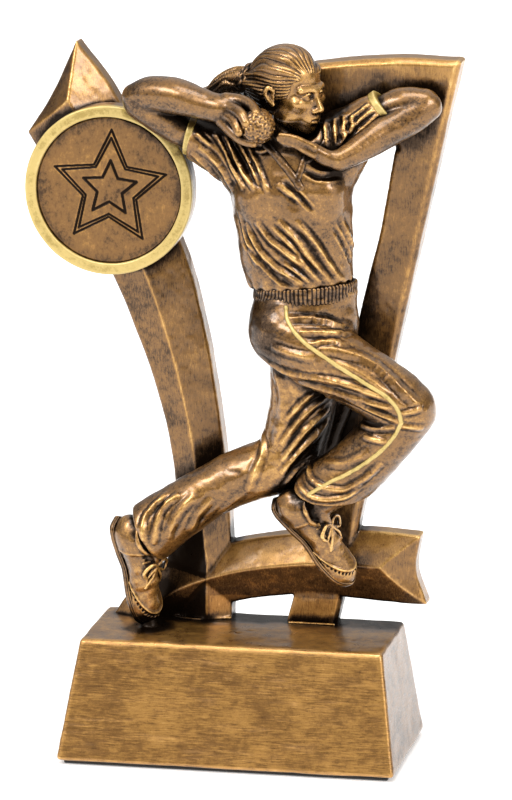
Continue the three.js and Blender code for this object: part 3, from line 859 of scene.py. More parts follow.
def make_trousers():
    field = Field((-24, -15, 30), (39, 10, 86), 0.23)
    # Leading lower leg, open at its hem.
    field.join(limb([(30.2, -5.4, 63.6, 4.9), (26.8, -5.2, 59.2, 5.0), (21.8, -4.4, 53.7, 5.2),
                     (16.0, -3.3, 48.4, 5.6), (13.4, -2.8, 45.0, 5.4)]))
    field.cut(half_space((16.6, -3.1, 49.5), (-0.1, 0.45, -0.89), 12), 0.5)
    field.cut(cone((16.6, -3.2, 50.0), (13.6, -2.7, 44.8), 3.6, 4.7), 0.3)
    # Trailing lower leg, open at its hem.
    field.join(limb([(7.4, 1.2, 52, 5.2), (-0.4, 0.8, 49.2, 4.9), (-6, 0.3, 46.2, 4.7),
                     (-12, -0.3, 42.2, 5.0), (-17.6, -0.6, 37.9, 5.6)]))
    hem, down = np.array((-16.8, -0.5, 38.6)), np.array((-0.86, 0, -0.5))
    field.cut(half_space(hem, down, 8.0), 0.9)
    field.cut(cone(hem - down * 2.5, hem + down * 3, 3.4, 4.7), 0.3)
    # Thighs and seat.
    field.join(limb([(11.2, 1.2, 73, 6.4), (10.4, 1.6, 62.4, 5.7), (8.6, 1.5, 54.2, 5.4)]), 1.6)
    field.join(limb([(8.6, -3.2, 76.6, 6.6), (13.6, -5.0, 74.0, 6.4), (20.5, -6, 70.4, 5.7),
                     (26.4, -6.1, 67.0, 5.5), (30.0, -5.9, 64.4, 5.1)]), 0.9)
    field.join(ellipsoid((11.4, -0.6, 77.6), (9.4, 6.9, 7.6)), 1.8)
    field.join(ellipsoid((8.8, 2.4, 74.6), (6.6, 4.8, 5.6)), 1.5)
    field.join(cone((11.5, -1.2, 79), (11.7, -1.2, 83.6), 9.1, 8.9, 0.68), 1.2)
    field.cut(half_space((11.7, -1.2, 83.2), (-0.09, 0, 1), 12), 0.3)
    # Webs of resin fill the crook between the legs. The folds lie on the legs alone.
    legs = field.d.copy()
    field.join(cone((12.4, 5.2, 51.5), (17.6, 6.0, 66), 2.5, 2.5), 0.6)
    field.join(cone((5.4, 1.6, 49.4), (13.4, 1.4, 48.2), 2.4, 2.6), 0.8)
    skin = Skin(field, 3)
    field.d, webbed = legs, field.d
    skin.folds([
        # Pleats below the waistband, in front of the hip.
        ([(9.6, 80.0), (13.3, 79.9), (16.6, 79.3), (20.3, 77.8)], 0.6, 0.6),
        ([(12.0, 77.9), (16.6, 77.7), (20.4, 77.4)], 0.5, 0.5),
        ([(13.8, 75.9), (17.2, 76.5), (20.6, 75.7)], 0.45, 0.4),
        ([(7.0, 75.0), (10.8, 74.2), (15.2, 73.6)], 0.6, 0.4),
        # Long folds from the seat round the thigh to the knee.
        ([(15.2, 75.6), (20.2, 74.7), (25.0, 72.8), (28.6, 70.0), (31.4, 67.2), (33.4, 65.6)], 0.75, 0.55),
        ([(17.0, 73.4), (21.6, 72.0), (25.4, 69.8), (28.0, 67.6)], 0.5, 0.28),
        ([(4.6, 72.6), (8.7, 70.8), (12.5, 70.2), (17.0, 70.0), (23.6, 69.0)], 0.55, 0.6),
        ([(18.4, 70.0), (23.0, 68.6), (28.4, 66.8)], 0.4, 0.35),
        ([(10.6, 68.6), (16.0, 68.2), (21.0, 67.0), (28.6, 65.3)], 0.5, 0.6),
        ([(18.0, 67.2), (22.6, 65.8), (26.0, 64.4), (30.0, 62.8)], 0.45, 0.55),
        ([(30.0, 64.4), (33.4, 65.2)], 0.4, 0.35),
        ([(29.6, 62.4), (33.6, 61.6)], 0.45, 0.35),
        # Short pleats behind the knee, then the plain shin.
        ([(20.6, 61.8), (25.0, 61.3), (29.0, 61.9)], 0.42, 0.45),
        ([(23.2, 59.7), (27.6, 59.2)], 0.4, 0.3),
        ([(15.4, 54.2), (20.2, 55.0), (24.4, 57.2)], 0.6, 0.35),
        ([(14.6, 50.4), (20.0, 50.3), (24.0, 52.8), (26.6, 55.4)], 0.5, 0.45),
        ([(12.6, 54.0), (13.6, 51.6), (16.4, 50.4)], 0.45, 0.4),
        ([(11.0, 50.8), (13.2, 48.8), (16.8, 48.2), (20.4, 49.0), (23.0, 51.2)], 0.42, 0.45),
        # The trailing thigh: folds fan down and left from the crotch.
        ([(6.4, 70.0), (8.0, 64.5), (7.6, 59.1), (6.2, 55.0)], 0.9, 0.4),
        ([(13.8, 66.2), (11.2, 63.8), (8.8, 60.6)], 0.45, 0.45),
        ([(17.4, 66.6), (13.2, 63.2), (10.2, 59.9), (7.8, 56.2)], 0.5, 0.6),
        ([(18.0, 64.4), (13.8, 60.8), (10.8, 57.4), (8.0, 53.4)], 0.5, 0.6),
        ([(16.8, 62.2), (14.0, 58.4), (11.0, 55.2), (7.8, 51.2)], 0.5, 0.55),
        ([(14.4, 54.8), (11.1, 52.4), (8.0, 48.6)], 0.4, 0.4),
        ([(3.6, 58.6), (4.3, 55.0), (3.4, 51.8), (1.8, 47.4)], 0.6, 0.4),
        # The trailing shin and its hem.
        ([(-12.6, 46.8), (-16.2, 42.6), (-16.4, 38.4)], 0.5, 0.4),
        ([(-10.4, 46.8), (-13.4, 43.6), (-14.6, 37.8)], 0.5, 0.55),
        ([(-7.4, 46.8), (-10.2, 43.6), (-12.2, 38.9)], 0.6, 0.45),
        ([(-4.2, 46.4), (-6.8, 43.4), (-8.6, 39.8)], 0.6, 0.4),
        ([(1.4, 47.8), (-4.1, 42.6)], 0.6, 0.2),
    ])
    skin.folds([
        ([(4, 80), (9, 77.4), (14, 77), (19, 79)], 0.8, 0.5),
        ([(5, 75.2), (10, 73), (15.4, 74)], 0.8, 0.6),
        ([(6.4, 70.4), (10.6, 69.2), (15.2, 70.6)], 0.8, 0.6),
        ([(6, 66), (10.4, 64.6), (14.8, 66)], 0.7, 0.45),
        ([(5, 58.4), (9.4, 56), (13.8, 57.4)], 0.7, 0.5),
        ([(4.4, 54), (8, 52.2), (12.4, 53)], 0.7, 0.5),
        ([(16, 74.4), (21, 72), (27, 69)], 0.8, 0.5),
        ([(16.6, 69.4), (22.4, 67.4), (28.6, 65.4)], 0.8, 0.5),
        ([(24, 62.4), (28, 60.8), (31.6, 62.4)], 0.7, 0.5),
        ([(17.6, 56), (21.4, 54.4), (26, 56)], 0.7, 0.45),
        ([(1, 50.6), (-4, 48.6), (-8.6, 44.4)], 0.8, 0.25),
        ([(0, 46.8), (-4.6, 44), (-9.6, 40.8)], 0.8, 0.3),
        ([(-9.6, 46.4), (-12.6, 42.6), (-13, 38)], 0.65, 0.5),
    ], back=True)
    web_shade = rise(field.at(skin.points) - 0.3, 0.7)
    field.d = webbed
    # Painted shade darkens the webs and the upper left of the seat, and the trailing thigh is made lighter.
    x, _, z = skin.points.T
    hip_shade = rise(10 - x, 3) * rise(z - 70, 3)
    lightened = rise(71 - z, 4) * rise(14 - x, 4) * rise(x - 1, 3)
    skin.roughen((0.12, (3.4, 3.4, 1.7), 31), (0.05, (1.3, 1.3, 0.8), 32))
    piece(
        skin, "trousers", figure_metal, "cast_bronze",
        "trouser_seat", "right_thigh", "left_thigh", "right_lower_leg", "left_lower_leg", "right_hem",
        "left_hem",
        stain_and_shade=0.7 * web_shade - 0.22 * lightened + 0.2 * hip_shade,
    )
    return field


def surface_line(field, line, lift):
    """Points in front of a field under a line of [x, z], lifted off it by that much."""
    path = [(x, field.face(x, z), z) for x, z in smooth(line)]
    path = np.array([point for point in path if point[1] is not None]) - (0, lift, 0)
    path[1:-1, 1] = (path[:-2, 1] + path[1:-1, 1] + path[2:, 1]) / 3
    return path


def make_piping(cloth):
    thigh = [(9.4, 81.6), (9.8, 79.9), (11.1, 78.1), (13.4, 76.1), (16.1, 74.4), (20.5, 71.7), (24.8, 69.2),
             (27.9, 67.2), (29.6, 65.0), (30.1, 62.9)]
    shin = [(30.1, 62.8), (28.4, 59.8), (25.4, 56.6), (21.0, 53.4), (17.4, 51.4), (13.6, 48.9)]
    radius = 0.38
    for name, line in (("thigh_piping", thigh), ("shin_piping", shin)):
        path = surface_line(cloth, line, 0.12)
        margin = radius + 0.6
        skin = Skin(Field(path.min(0) - margin, path.max(0) + margin, 0.12).trace(path, radius, 0.05))
        skin.roughen((0.05, 0.9, 35))
        piece(skin, name, gold_paint, "gold_paint", f"right_{name}", stain_and_shade=0.3)


def make_waistband():
    field = Field((0.5, -9.5, 80), (23.5, 7, 87), 0.16)
    field.join(cone((11.45, -1.2, 82.0), (11.5, -1.2, 84.7), 8.9, 9.0, 0.7))
    field.cut(half_space((11.6, -1.2, 84.7), (-0.09, 0, 1), 13), 0.3)
    field.cut(half_space((11.6, -1.2, 81.7), (0.09, 0, -1), 13), 0.3)
    skin = Skin(field)
    x, y, _ = skin.points.T
    around = np.arctan2((x - 11.5) / 9.0, -(y + 1.2) / 6.4)
    rib = np.abs(np.sin(around * 36 + 2.0 * lattice_noise(skin.points, 3, 41)))
    skin.roughen((0.12, (1.2, 1.2, 0.6), 42), plus=0.26 * np.sqrt(rib) - 0.12)
    piece(skin, "ribbed_waistband", dark_metal, "cast_bronze_dark", "waistband", spread=5, stain_and_shade=0.12)


# ------------------------------------------------------------------ shirt


def make_shirt():
    field = Field((-13.5, -13, 81.5), (29, 10, 121), 0.23)
    field.join(limb([(10.6, -1.2, 86.4, 9.3), (10.0, -1.2, 90, 9.9), (9.4, -1.4, 97, 10.4),
                     (8.8, -1.0, 102.5, 10.6)], 0.68))
    field.join(cone((1.4, -0.2, 105.6), (16.4, -0.2, 106.8), 5.2, 5.4, 0.9), 3.0)
    field.join(ellipsoid((5.0, -5.4, 100.2), (4.6, 3.3, 4.6)), 2.2)
    field.join(ellipsoid((14.6, -5.3, 101.0), (4.4, 3.2, 4.4)), 2.2)
    # Sleeves, each cut off square at its band, with cloth bunched beside the neck.
    field.join(limb([(-0.6, -0.4, 106.2, 5.0), (-4.4, -0.9, 107.9, 4.3), (-8.4, -1.3, 109.6, 3.5)]), 1.8)
    field.join(limb([(16.6, 0.4, 108.4, 5.0), (20.6, 0.9, 112.2, 4.2), (24.2, 1.3, 115.0, 3.2)]), 1.8)
    field.join(ellipsoid((16.2, -2.4, 110.0), (3.0, 2.4, 3.6)), 1.4)
    field.join(ellipsoid((17.4, 2.8, 111.7), (4.0, 2.6, 3.0)), 1.4)
    field.cut(half_space((-8.4, -1.3, 109.8), (-0.97, 0, 0.22), 5.5), 0.3)
    field.cut(half_space((24.2, 1.3, 115.2), (0.76, 0, 0.65), 5.0), 0.3)
    # Neck opening.
    field.cut(ellipsoid((10.2, -2.6, 112.4), (4.2, 4.4, 4.0)), 0.6)
    # The cloth gathers in under the hem and blouses over the waistband.
    field.cut(half_space((11.7, -1.2, 84.4), (0.09, 0, -1), 14), 1.0)
    skin = Skin(field, 3)
    skin.folds([
        # Long folds fan from the hem up to the left.
        ([(1.0, 98.0), (1.7, 94.4), (3.0, 91.0), (4.2, 88.4)], 0.5, 0.4),
        ([(2.0, 96.0), (2.9, 94.1), (4.6, 91.3), (6.9, 89.1), (9.4, 87.4), (12.4, 85.6)], 0.48, 0.6),
        ([(1.2, 92.6), (3.3, 90.6), (5.8, 88.4), (8.4, 86.2), (11.2, 84.9)], 0.4, -0.4),
        ([(4.2, 96.6), (6.3, 93.6), (8.8, 91.7), (11.5, 89.7), (15.4, 86.0)], 0.5, 0.62),
        ([(9.0, 89.4), (11.4, 87.6), (13.4, 86.0)], 0.3, 0.35),
        ([(8.0, 97.0), (11.4, 93.5), (13.2, 90.8), (16.6, 86.0)], 0.5, 0.55),
        ([(6.6, 96.0), (9.6, 93.2), (12.2, 90.0), (14.2, 87.6)], 0.35, 0.25),
        ([(11.2, 97.0), (14.3, 93.1), (16.0, 90.2), (18.4, 86.0)], 0.5, 0.55),
        ([(17.2, 95.6), (18.6, 92.6), (19.8, 88.6)], 0.4, -0.35),
        ([(18.2, 97.4), (19.5, 93.4), (20.2, 89.4)], 0.5, 0.35),
        # Across the chest.
        ([(8.0, 103.2), (10.1, 101.6), (12.0, 100.3)], 0.4, 0.4),
        ([(9.0, 103.8), (11.9, 101.2), (14.2, 98.8)], 0.4, -0.35),
        ([(12.2, 105.8), (15.0, 104.5), (18.6, 104.6)], 0.5, -0.5),
        # Folds that run out of the raised right sleeve.
        ([(-6.6, 108.6), (-4.1, 106.8), (-2.1, 104.2), (-0.4, 100.8)], 0.55, 0.5),
        ([(-7.0, 110.9), (-4.3, 108.7)], 0.4, 0.4),
        ([(-4.0, 111.0), (-1.7, 108.2), (-0.3, 105.2), (1.9, 101.8)], 0.38, 0.6),
        ([(-2.9, 110.4), (-0.8, 107.4), (0.8, 104.6)], 0.34, -0.5),
        ([(-2.2, 110.4), (0.0, 107.0), (1.8, 104.5), (4.2, 102.0)], 0.42, 0.65),
        ([(-1.2, 110.4), (1.2, 107.2), (2.8, 104.8)], 0.34, -0.55),
        ([(0.0, 110.4), (2.1, 107.6), (3.4, 105.4), (5.0, 102.8)], 0.36, 0.5),
        ([(1.4, 110.2), (3.8, 106.9), (5.2, 104.2), (6.4, 101.8)], 0.42, 0.5),
        ([(-8.0, 107.4), (-5.4, 105.0), (-3.4, 102.0)], 0.5, 0.35),
        # Small gathers under the ball.
        ([(2.4, 109.6), (4.6, 109.5), (6.4, 110.3)], 0.3, 0.35),
        ([(2.6, 108.5), (4.8, 108.4), (6.8, 109.2)], 0.3, 0.3),
        # Pleats on the left shoulder, under the raised arm and beside the neck.
        ([(17.8, 109.2), (20.0, 112.4), (23.8, 116.0)], 0.36, 0.5),
        ([(19.6, 109.8), (21.8, 112.4), (24.4, 114.8)], 0.36, 0.5),
        ([(18.6, 113.0), (21.4, 115.4), (24.0, 117.4)], 0.34, 0.4),
        ([(15.2, 113.6), (15.6, 111.6), (15.9, 109.2)], 0.36, 0.5),
        ([(18.4, 114.4), (18.6, 112.4), (18.8, 110.2)], 0.4, 0.5),
        ([(20.0, 114.6), (20.0, 112.8), (20.0, 111.0)], 0.36, 0.5),
        ([(16.8, 113.9), (17.2, 111.8), (17.6, 109.4)], 0.36, 0.5),
    ])
    skin.folds([
        ([(2, 99), (6, 94), (12, 90), (17, 88)], 0.8, 0.6),
        ([(3, 104), (8, 99), (14, 96), (19, 95)], 0.8, 0.6),
        ([(1.4, 93.4), (5, 90), (9, 87.4)], 0.7, 0.5),
        ([(6, 107), (10, 103.6), (16, 102.4)], 0.8, 0.5),
        ([(-6, 109), (-1, 105), (3, 100)], 0.7, 0.6),
        ([(22, 112), (18, 107), (15, 101)], 0.7, 0.6),
        ([(18.4, 93), (14.6, 89.6), (11.6, 87)], 0.7, 0.5),
    ], back=True)
    x, y, z = p = skin.points.T
    skin.roughen((0.12, (2.8, 2.8, 2.0), 51), (0.05, (1.1, 1.1, 0.9), 52))
    # Gathers where the shirt meets the waistband.
    around = np.arctan2((x - 11) / 9.6, -(y + 1.2) / 6.6)
    skin.raise_by(0.16 * rise(86.6 - z, 2.2) * np.sin(around * 19 + 2.4 * lattice_noise(p.T, 4, 53)))
    piece(skin, "shirt", figure_metal, "cast_bronze", "shirt_body", "right_sleeve", "left_sleeve")
    return field


def make_collar(cloth):
    field = Field((1.5, -11, 101), (18, 6, 115), 0.14)
    # A facing that crosses the chest, the collar's point, and the band round the neck.
    for line, radius in (
        ([(5.6, 109.4), (8.2, 107.2), (10.6, 104.4), (12.0, 102.6)], 0.85),
        ([(12.6, 108.2), (12.0, 106.2), (11.4, 103.8)], 0.7),
        ([(15.8, 110.4), (14.4, 108.4), (12.8, 107.0)], 0.7),
    ):
        field.trace(surface_line(cloth, line, -0.35), radius, 0.1)
    field.join(torus((10.2, -0.6, 110.2), (-0.1, -0.35, 1), 3.9, 0.95), 0.5)
    skin = Skin(field)
    skin.roughen((0.06, 1.3, 55))
    piece(skin, "polo_collar", dark_metal, "cast_bronze_dark", "shirt_collar", spread=8)


def make_bands():
    for name, at, axis, radius, stands_for in (
        ("right_cuff", (-8.5, -1.3, 109.9), (-0.97, 0, 0.22), 3.2, "right_sleeve_band"),
        ("left_cuff", (24.5, 1.3, 115.4), (0.76, 0, 0.65), 3.0, "left_sleeve_band"),
    ):
        at, axis = np.array(at), np.array(axis) / np.linalg.norm(axis)
        field = Field(at - 5.2, at + 5.2, 0.14)
        # A flat band: the part of a ball-ended bar between two planes.
        field.join(cone(at - axis * 3, at + axis * 3, radius + 0.4, radius + 0.2))
        field.cut(half_space(at + axis * 0.62, axis, 6), 0.15)
        field.cut(half_space(at - axis * 0.62, -axis, 6), 0.15)
        skin = Skin(field)
        skin.roughen((0.05, 1.2, 57))
        piece(skin, name, gold_paint, "gold_paint", stands_for, spread=4)


# ------------------------------------------------------------------ arms, hands and ball


def make_right_arm():
    right = Field((-23, -12, 104), (9, 6, 123), 0.16)
    right.join(limb([(-6.4, -1.1, 108.8, 2.7), (-12.4, -1.7, 112.2, 3.0), (-17.4, -2.1, 115.4, 2.8)]))
    right.join(limb([(-18.0, -2.4, 116.4, 2.5), (-15.2, -3.1, 117.2, 3.0), (-10.6, -4.2, 117.1, 3.15),
                     (-6.4, -5.2, 116.2, 2.75), (-2.6, -6.1, 115.5, 2.35)]), 0.5)
    # Hand: the palm behind the ball, the fingers over it and the thumb under it.
    right.join(limb([(-2.6, -6.2, 115.6, 2.4), (-0.8, -6.5, 115.4, 2.3), (0.6, -6.6, 115.2, 2.0)], 0.9), 0.8)
    right.join(ellipsoid((1.6, -6.0, 114.2), (2.9, 1.9, 3.0)), 0.8)
    for stations in (
        [(-1.4, -6.2, 117.1, 1.3), (1.2, -6.9, 117.1, 1.1), (3.3, -8.2, 116.6, 1.0),
         (4.6, -9.9, 115.6, 0.85)],
        [(-1.2, -7.0, 116.0, 1.25), (0.6, -8.4, 115.8, 1.05), (2.2, -10.2, 115.2, 0.95),
         (3.1, -11.2, 114.1, 0.8)],
        [(-1.2, -7.4, 114.8, 1.2), (0.2, -8.8, 114.4, 1.0), (1.2, -10.2, 113.5, 0.9),
         (1.8, -11.0, 112.4, 0.75)],
        [(-1.8, -7.0, 113.6, 1.4), (0.2, -8.2, 112.0, 1.15), (2.2, -9.4, 110.8, 0.95),
         (4.2, -10.0, 110.3, 0.75)],
    ):
        right.join(limb(stations), 0.25)
    skin = Skin(right, 4)
    skin.roughen((0.09, (2.6, 2.6, 2.0), 61), (0.03, 1, 64))
    piece(skin, "right_arm", figure_metal, "cast_bronze", "right_upper_arm", "right_forearm", "right_hand",
          stain_and_shade=0.08)


def make_left_arm():
    left = Field((3.5, -12, 103), (37, 7, 122), 0.16)
    left.join(limb([(22.6, 1.1, 113.6, 2.6), (27.6, 1.8, 116.0, 2.8), (31.8, 2.2, 116.2, 2.5)]))
    left.join(limb([(32.4, 2.0, 115.6, 2.35), (29.4, 0.8, 113.8, 2.9), (25.0, -1.4, 111.4, 2.9),
                    (21.2, -4.4, 108.9, 2.3), (18.2, -6.6, 107.3, 1.75)]), 0.5)
    left.join(limb([(18.2, -6.6, 107.2, 1.6), (16.0, -7.4, 107.9, 1.5), (13.9, -8.0, 109.4, 1.2)], 0.8), 0.6)
    for lift, reach in ((0.66, 0.3), (0.22, 0), (-0.24, 0.2), (-0.68, 0.8)):
        left.join(limb([(14.4, -8.2 - abs(lift) * 0.3, 109.1 + lift, 0.66), (11.4, -8.8, 110.6 + lift, 0.55),
                        (8.2 + reach, -8.9, 111.2 + lift * 0.9, 0.45)]), 0.1)
    skin = Skin(left, 5)
    skin.roughen((0.09, (2.6, 2.6, 2.0), 62), (0.03, 1, 65))
    piece(skin, "left_arm", figure_metal, "cast_bronze", "left_upper_arm", "left_forearm", "left_hand",
          stain_and_shade=0.08)


def make_ball():
    at, radius = np.array([4.6, -8.9, 113.2]), 3.05
    ball = Field(at - radius - 0.6, at + radius + 0.6, 0.12)
    ball.join(ellipsoid(at, (radius, radius, radius)))
    skin = Skin(ball)
    # A raised seam round the ball with the leather pebbled on each side.
    seam = (skin.points - at) @ np.array([0.55, -0.35, 0.76])
    skin.roughen((0.15, 0.4, 63), plus=0.1 * bump(seam, 0.28))
    piece(skin, "ball", figure_metal, "cast_bronze", "cricket_ball", spread=5)


# ------------------------------------------------------------------ head, neck and hair

HEAD = shift(9.2, -1.7, 118.5) @ turn("Z", 62) @ turn("Y", -3) @ turn("X", 6)
HEAD[:3, :3] *= 1.06
# In the head's own frame -Y is forward and +X is the figure's left. It is 14.2 mm from chin to crown.
TIE = np.array([1.4, 1.0, 119.5])  # where the hair is gathered


def in_head(points):
    """Points of the trophy's frame in the head's own frame."""
    inverse = np.linalg.inv(HEAD)
    return np.asarray(points) @ inverse[:3, :3].T + inverse[:3, 3]


def add_eye_and_ear(head, side):
    def at(x, y, z):
        return side * x, y, z

    head.join(ellipsoid(at(2.9, -0.9, -3.7), (1.3, 2.2, 1.3)), 1.2)  # jaw
    head.join(ellipsoid(at(2.55, -3.5, -1.15), (1.25, 1.1, 0.95)), 1.0)  # cheek
    head.join(cone(at(0.55, -4.75, 0.95), at(2.6, -3.95, 1.05), 0.62, 0.55), 0.7)  # brow
    head.cut(ellipsoid(at(1.6, -5.1, 0.1), (1.15, 0.85, 0.62)), 0.5)
    head.join(ellipsoid(at(1.6, -3.85, 0.05), (0.92, 0.92, 0.86)), 0.12)
    for middle, inner, outer, thick, soft in (
        ((1.6, -4.82, 0.52), (0.72, -4.5, 0.1), (2.5, -4.2, 0.12), (0.13, 0.17), 0.1),
        ((1.6, -4.66, -0.42), (0.75, -4.5, 0.0), (2.45, -4.2, 0.0), (0.11, 0.13), 0.12),
    ):
        lid = [(*at(*inner), thick[0]), (*at(*middle), thick[1]), (*at(*outer), thick[0])]
        head.join(limb(lid), soft)
    head.join(ellipsoid(at(0.74, -5.35, -2.35), (0.5, 0.6, 0.46)), 0.3)  # wing of the nose
    head.join(limb([(*at(4.3, 0.5, 0.6), 0.42), (*at(4.85, 1.1, 0.9), 0.42), (*at(4.95, 1.5, -0.1), 0.4),
                    (*at(4.6, 1.0, -1.2), 0.38), (*at(4.2, 0.4, -1.8), 0.42)]), 0.3)  # rim of the ear
    head.join(ellipsoid(at(4.15, 0.9, -0.3), (0.5, 0.95, 1.4)), 0.3)


def add_half_mouth(head, side):
    upper = [(0, -5.28, -3.62, 0.3), (side * 0.45, -5.2, -3.55, 0.3), (side * 1.35, -4.6, -3.95, 0.2)]
    lower = [(0, -5.15, -4.42, 0.36), (side * 0.5, -5.05, -4.4, 0.34), (side * 1.25, -4.6, -4.08, 0.2)]
    parting = [(0, -5.62, -4.0, 0.1), (side * 0.6, -5.4, -3.98, 0.1), (side * 1.45, -4.7, -4.02, 0.08)]
    head.cut(ellipsoid((side * 0.4, -5.75, -2.85), (0.22, 0.3, 0.2)), 0.15)  # nostril
    head.join(limb(upper), 0.2)
    head.join(limb(lower), 0.2)
    head.cut(limb(parting), 0.12)


def make_head():
    head = Field((-6.4, -7.6, -10.5), (6.4, 7.4, 7.4), 0.115, HEAD)
    head.join(ellipsoid((0, 0.9, 1.9), (4.55, 5.5, 4.75)))
    head.join(ellipsoid((0, -1.7, -2.0), (3.75, 3.6, 4.4)), 1.2)
    head.join(ellipsoid((0, -3.7, -5.5), (1.3, 1.2, 1.1)), 1.4)
    for side in (-1, 1):
        add_eye_and_ear(head, side)
    # Nose, then the mound that carries the mouth.
    head.join(limb([(0, -4.75, 0.7, 0.46), (0, -5.3, -0.7, 0.5), (0, -6.0, -2.0, 0.66)]), 0.6)
    head.join(ellipsoid((0, -4.35, -3.9), (1.8, 1.0, 1.25)), 0.8)
    for side in (-1, 1):
        add_half_mouth(head, side)
    head.cut(cone((-0.7, -5.35, -4.95), (0.7, -5.35, -4.95), 0.25, 0.25), 0.5)
    head.join(limb([(0, 1.6, -3.2, 3.0), (0.2, 1.4, -6.4, 2.75), (0.6, 1.2, -10.2, 3.1)]), 0.9)
    skin = Skin(head)
    skin.roughen((0.035, 1.4, 71))
    piece(skin, "head_and_neck", face_metal, "cast_bronze", "head", "neck")


def make_hair():
    hair = Field((-7, -6.4, -6.4), (7, 9.4, 8.4), 0.12, HEAD)
    hair.join(ellipsoid((0, 1.1, 1.9), (4.95, 5.75, 5.15)))
    hair.join(ellipsoid((0, 2.6, -1.6), (4.5, 4.1, 3.6)), 1.4)
    tie = in_head(TIE)
    hair.join(limb([(0, 3.6, 1.2, 4.2), (*(tie * (1, 0.72, 1)), 3.0), (*tie, 2.0)]), 1.2)
    # The face and ears are left bare; the hair sweeps back from a hairline over the brow and temples.
    hair.cut(ellipsoid((0, -7.6, -1.0), (8, 6.3, 5.7)), 0.3)
    for side in (-1, 1):
        hair.cut(ellipsoid((side * 5.6, -1.2, -3.6), (2.4, 3.0, 3.4)), 0.4)
        hair.cut(ellipsoid((side * 5.3, 1.0, -0.5), (1.3, 1.6, 2.0)), 0.25)
    skin = Skin(hair)
    # Strands run from the hairline to the tie, like meridians to a pole.
    local = in_head(skin.points)
    q = local - tie
    around = np.arctan2(q[:, 0], q[:, 2] + 0.12 * q[:, 1])
    wander = lattice_noise(local, (2.4, 5.0, 2.4), 72)
    strand = np.abs(np.sin(around * 17 + 3.6 * wander)) ** 0.6
    lock = np.sin(around * 6.2 + 3.4 * lattice_noise(local, (3, 7, 3), 73))
    away = np.clip(np.hypot(q[:, 0], q[:, 2]) / 3.0, 0.3, 1)
    skin.raise_by(away * (0.17 * strand + 0.2 * lock) - 0.1)
    piece(skin, "swept_hair", hair_metal, "cast_bronze_dark", "hair", spread=8)


def make_hair_tie():
    out = np.array([-0.93, 0.3, -0.1])
    out /= np.linalg.norm(out)
    ties = Field(TIE - 4.2, TIE + 4.2, 0.12)
    ties.join(torus(TIE - out * 0.45, out, 2.45, 0.52))
    ties.join(torus(TIE + out * 0.4, out + (0.1, 0, 0.15), 2.4, 0.5), 0.08)
    skin = Skin(ties)
    q = skin.points - TIE
    twist = np.arctan2(q[:, 1], q[:, 2]) * 11 + (q @ out) * 3
    skin.roughen((0.05, 0.7, 74), plus=0.1 * np.sin(twist))
    piece(skin, "wound_hair_tie", dark_metal, "cast_bronze_dark", "hair_tie", spread=6)


def make_ponytail():
    tail = Field((-10, -2.5, 104), (4.5, 8.5, 124), 0.14)
    path = [(1.6, 1.0, 119.5, 1.9), (-0.8, 2.2, 119.1, 2.4), (-3.6, 3.2, 117.2, 2.5),
            (-5.4, 3.6, 113.8, 2.2), (-5.6, 3.7, 110.0, 1.6), (-4.8, 3.6, 106.6, 0.5)]
    tail.join(limb(path, 0.85, 8))
    for x, z in ((-7.2, 116.4), (-6.4, 115.0)):
        tail.join(limb([(-1.6, 2.2, 119.2, 1.2), (-4.4, 2.4, 118.4, 0.9), (x, 2.6, z, 0.3)]), 0.3)
    skin = Skin(tail)
    curve = smooth(path, 12)[:, :3]
    nearest = np.argmin(((skin.points[:, None, :] - curve[None]) ** 2).sum(2), 1)
    q = skin.points - curve[nearest]
    around = np.arctan2(q[:, 0], -q[:, 1]) + nearest * 0.012
    strand = np.abs(np.sin(around * 8 + 1.6 * lattice_noise(skin.points, (2, 2, 5), 75))) ** 0.7
    skin.roughen((0.15, (1.6, 1.6, 3.6), 76), plus=0.34 * strand - 0.2)
    piece(skin, "tied_ponytail", hair_metal, "cast_bronze_dark", "ponytail", spread=8)


# ------------------------------------------------------------------ shoes


def shoe_place(heel, toe, up):
    """The frame of a shoe: +X from heel to toe, +Z out of the sole."""
    x = np.array(toe, float) - heel
    x /= np.linalg.norm(x)
    z = np.array(up, float)
    z -= x * (z @ x)
    z /= np.linalg.norm(z)
    place = np.eye(4)
    place[:3, 0], place[:3, 1], place[:3, 2], place[:3, 3] = x, np.cross(z, x), z, heel
    return place


def in_shoe(skin, place):
    """The skin's points along the shoe, across it and out of its sole."""
    return ((skin.points - place[:3, 3]) @ place[:3, :3]).T


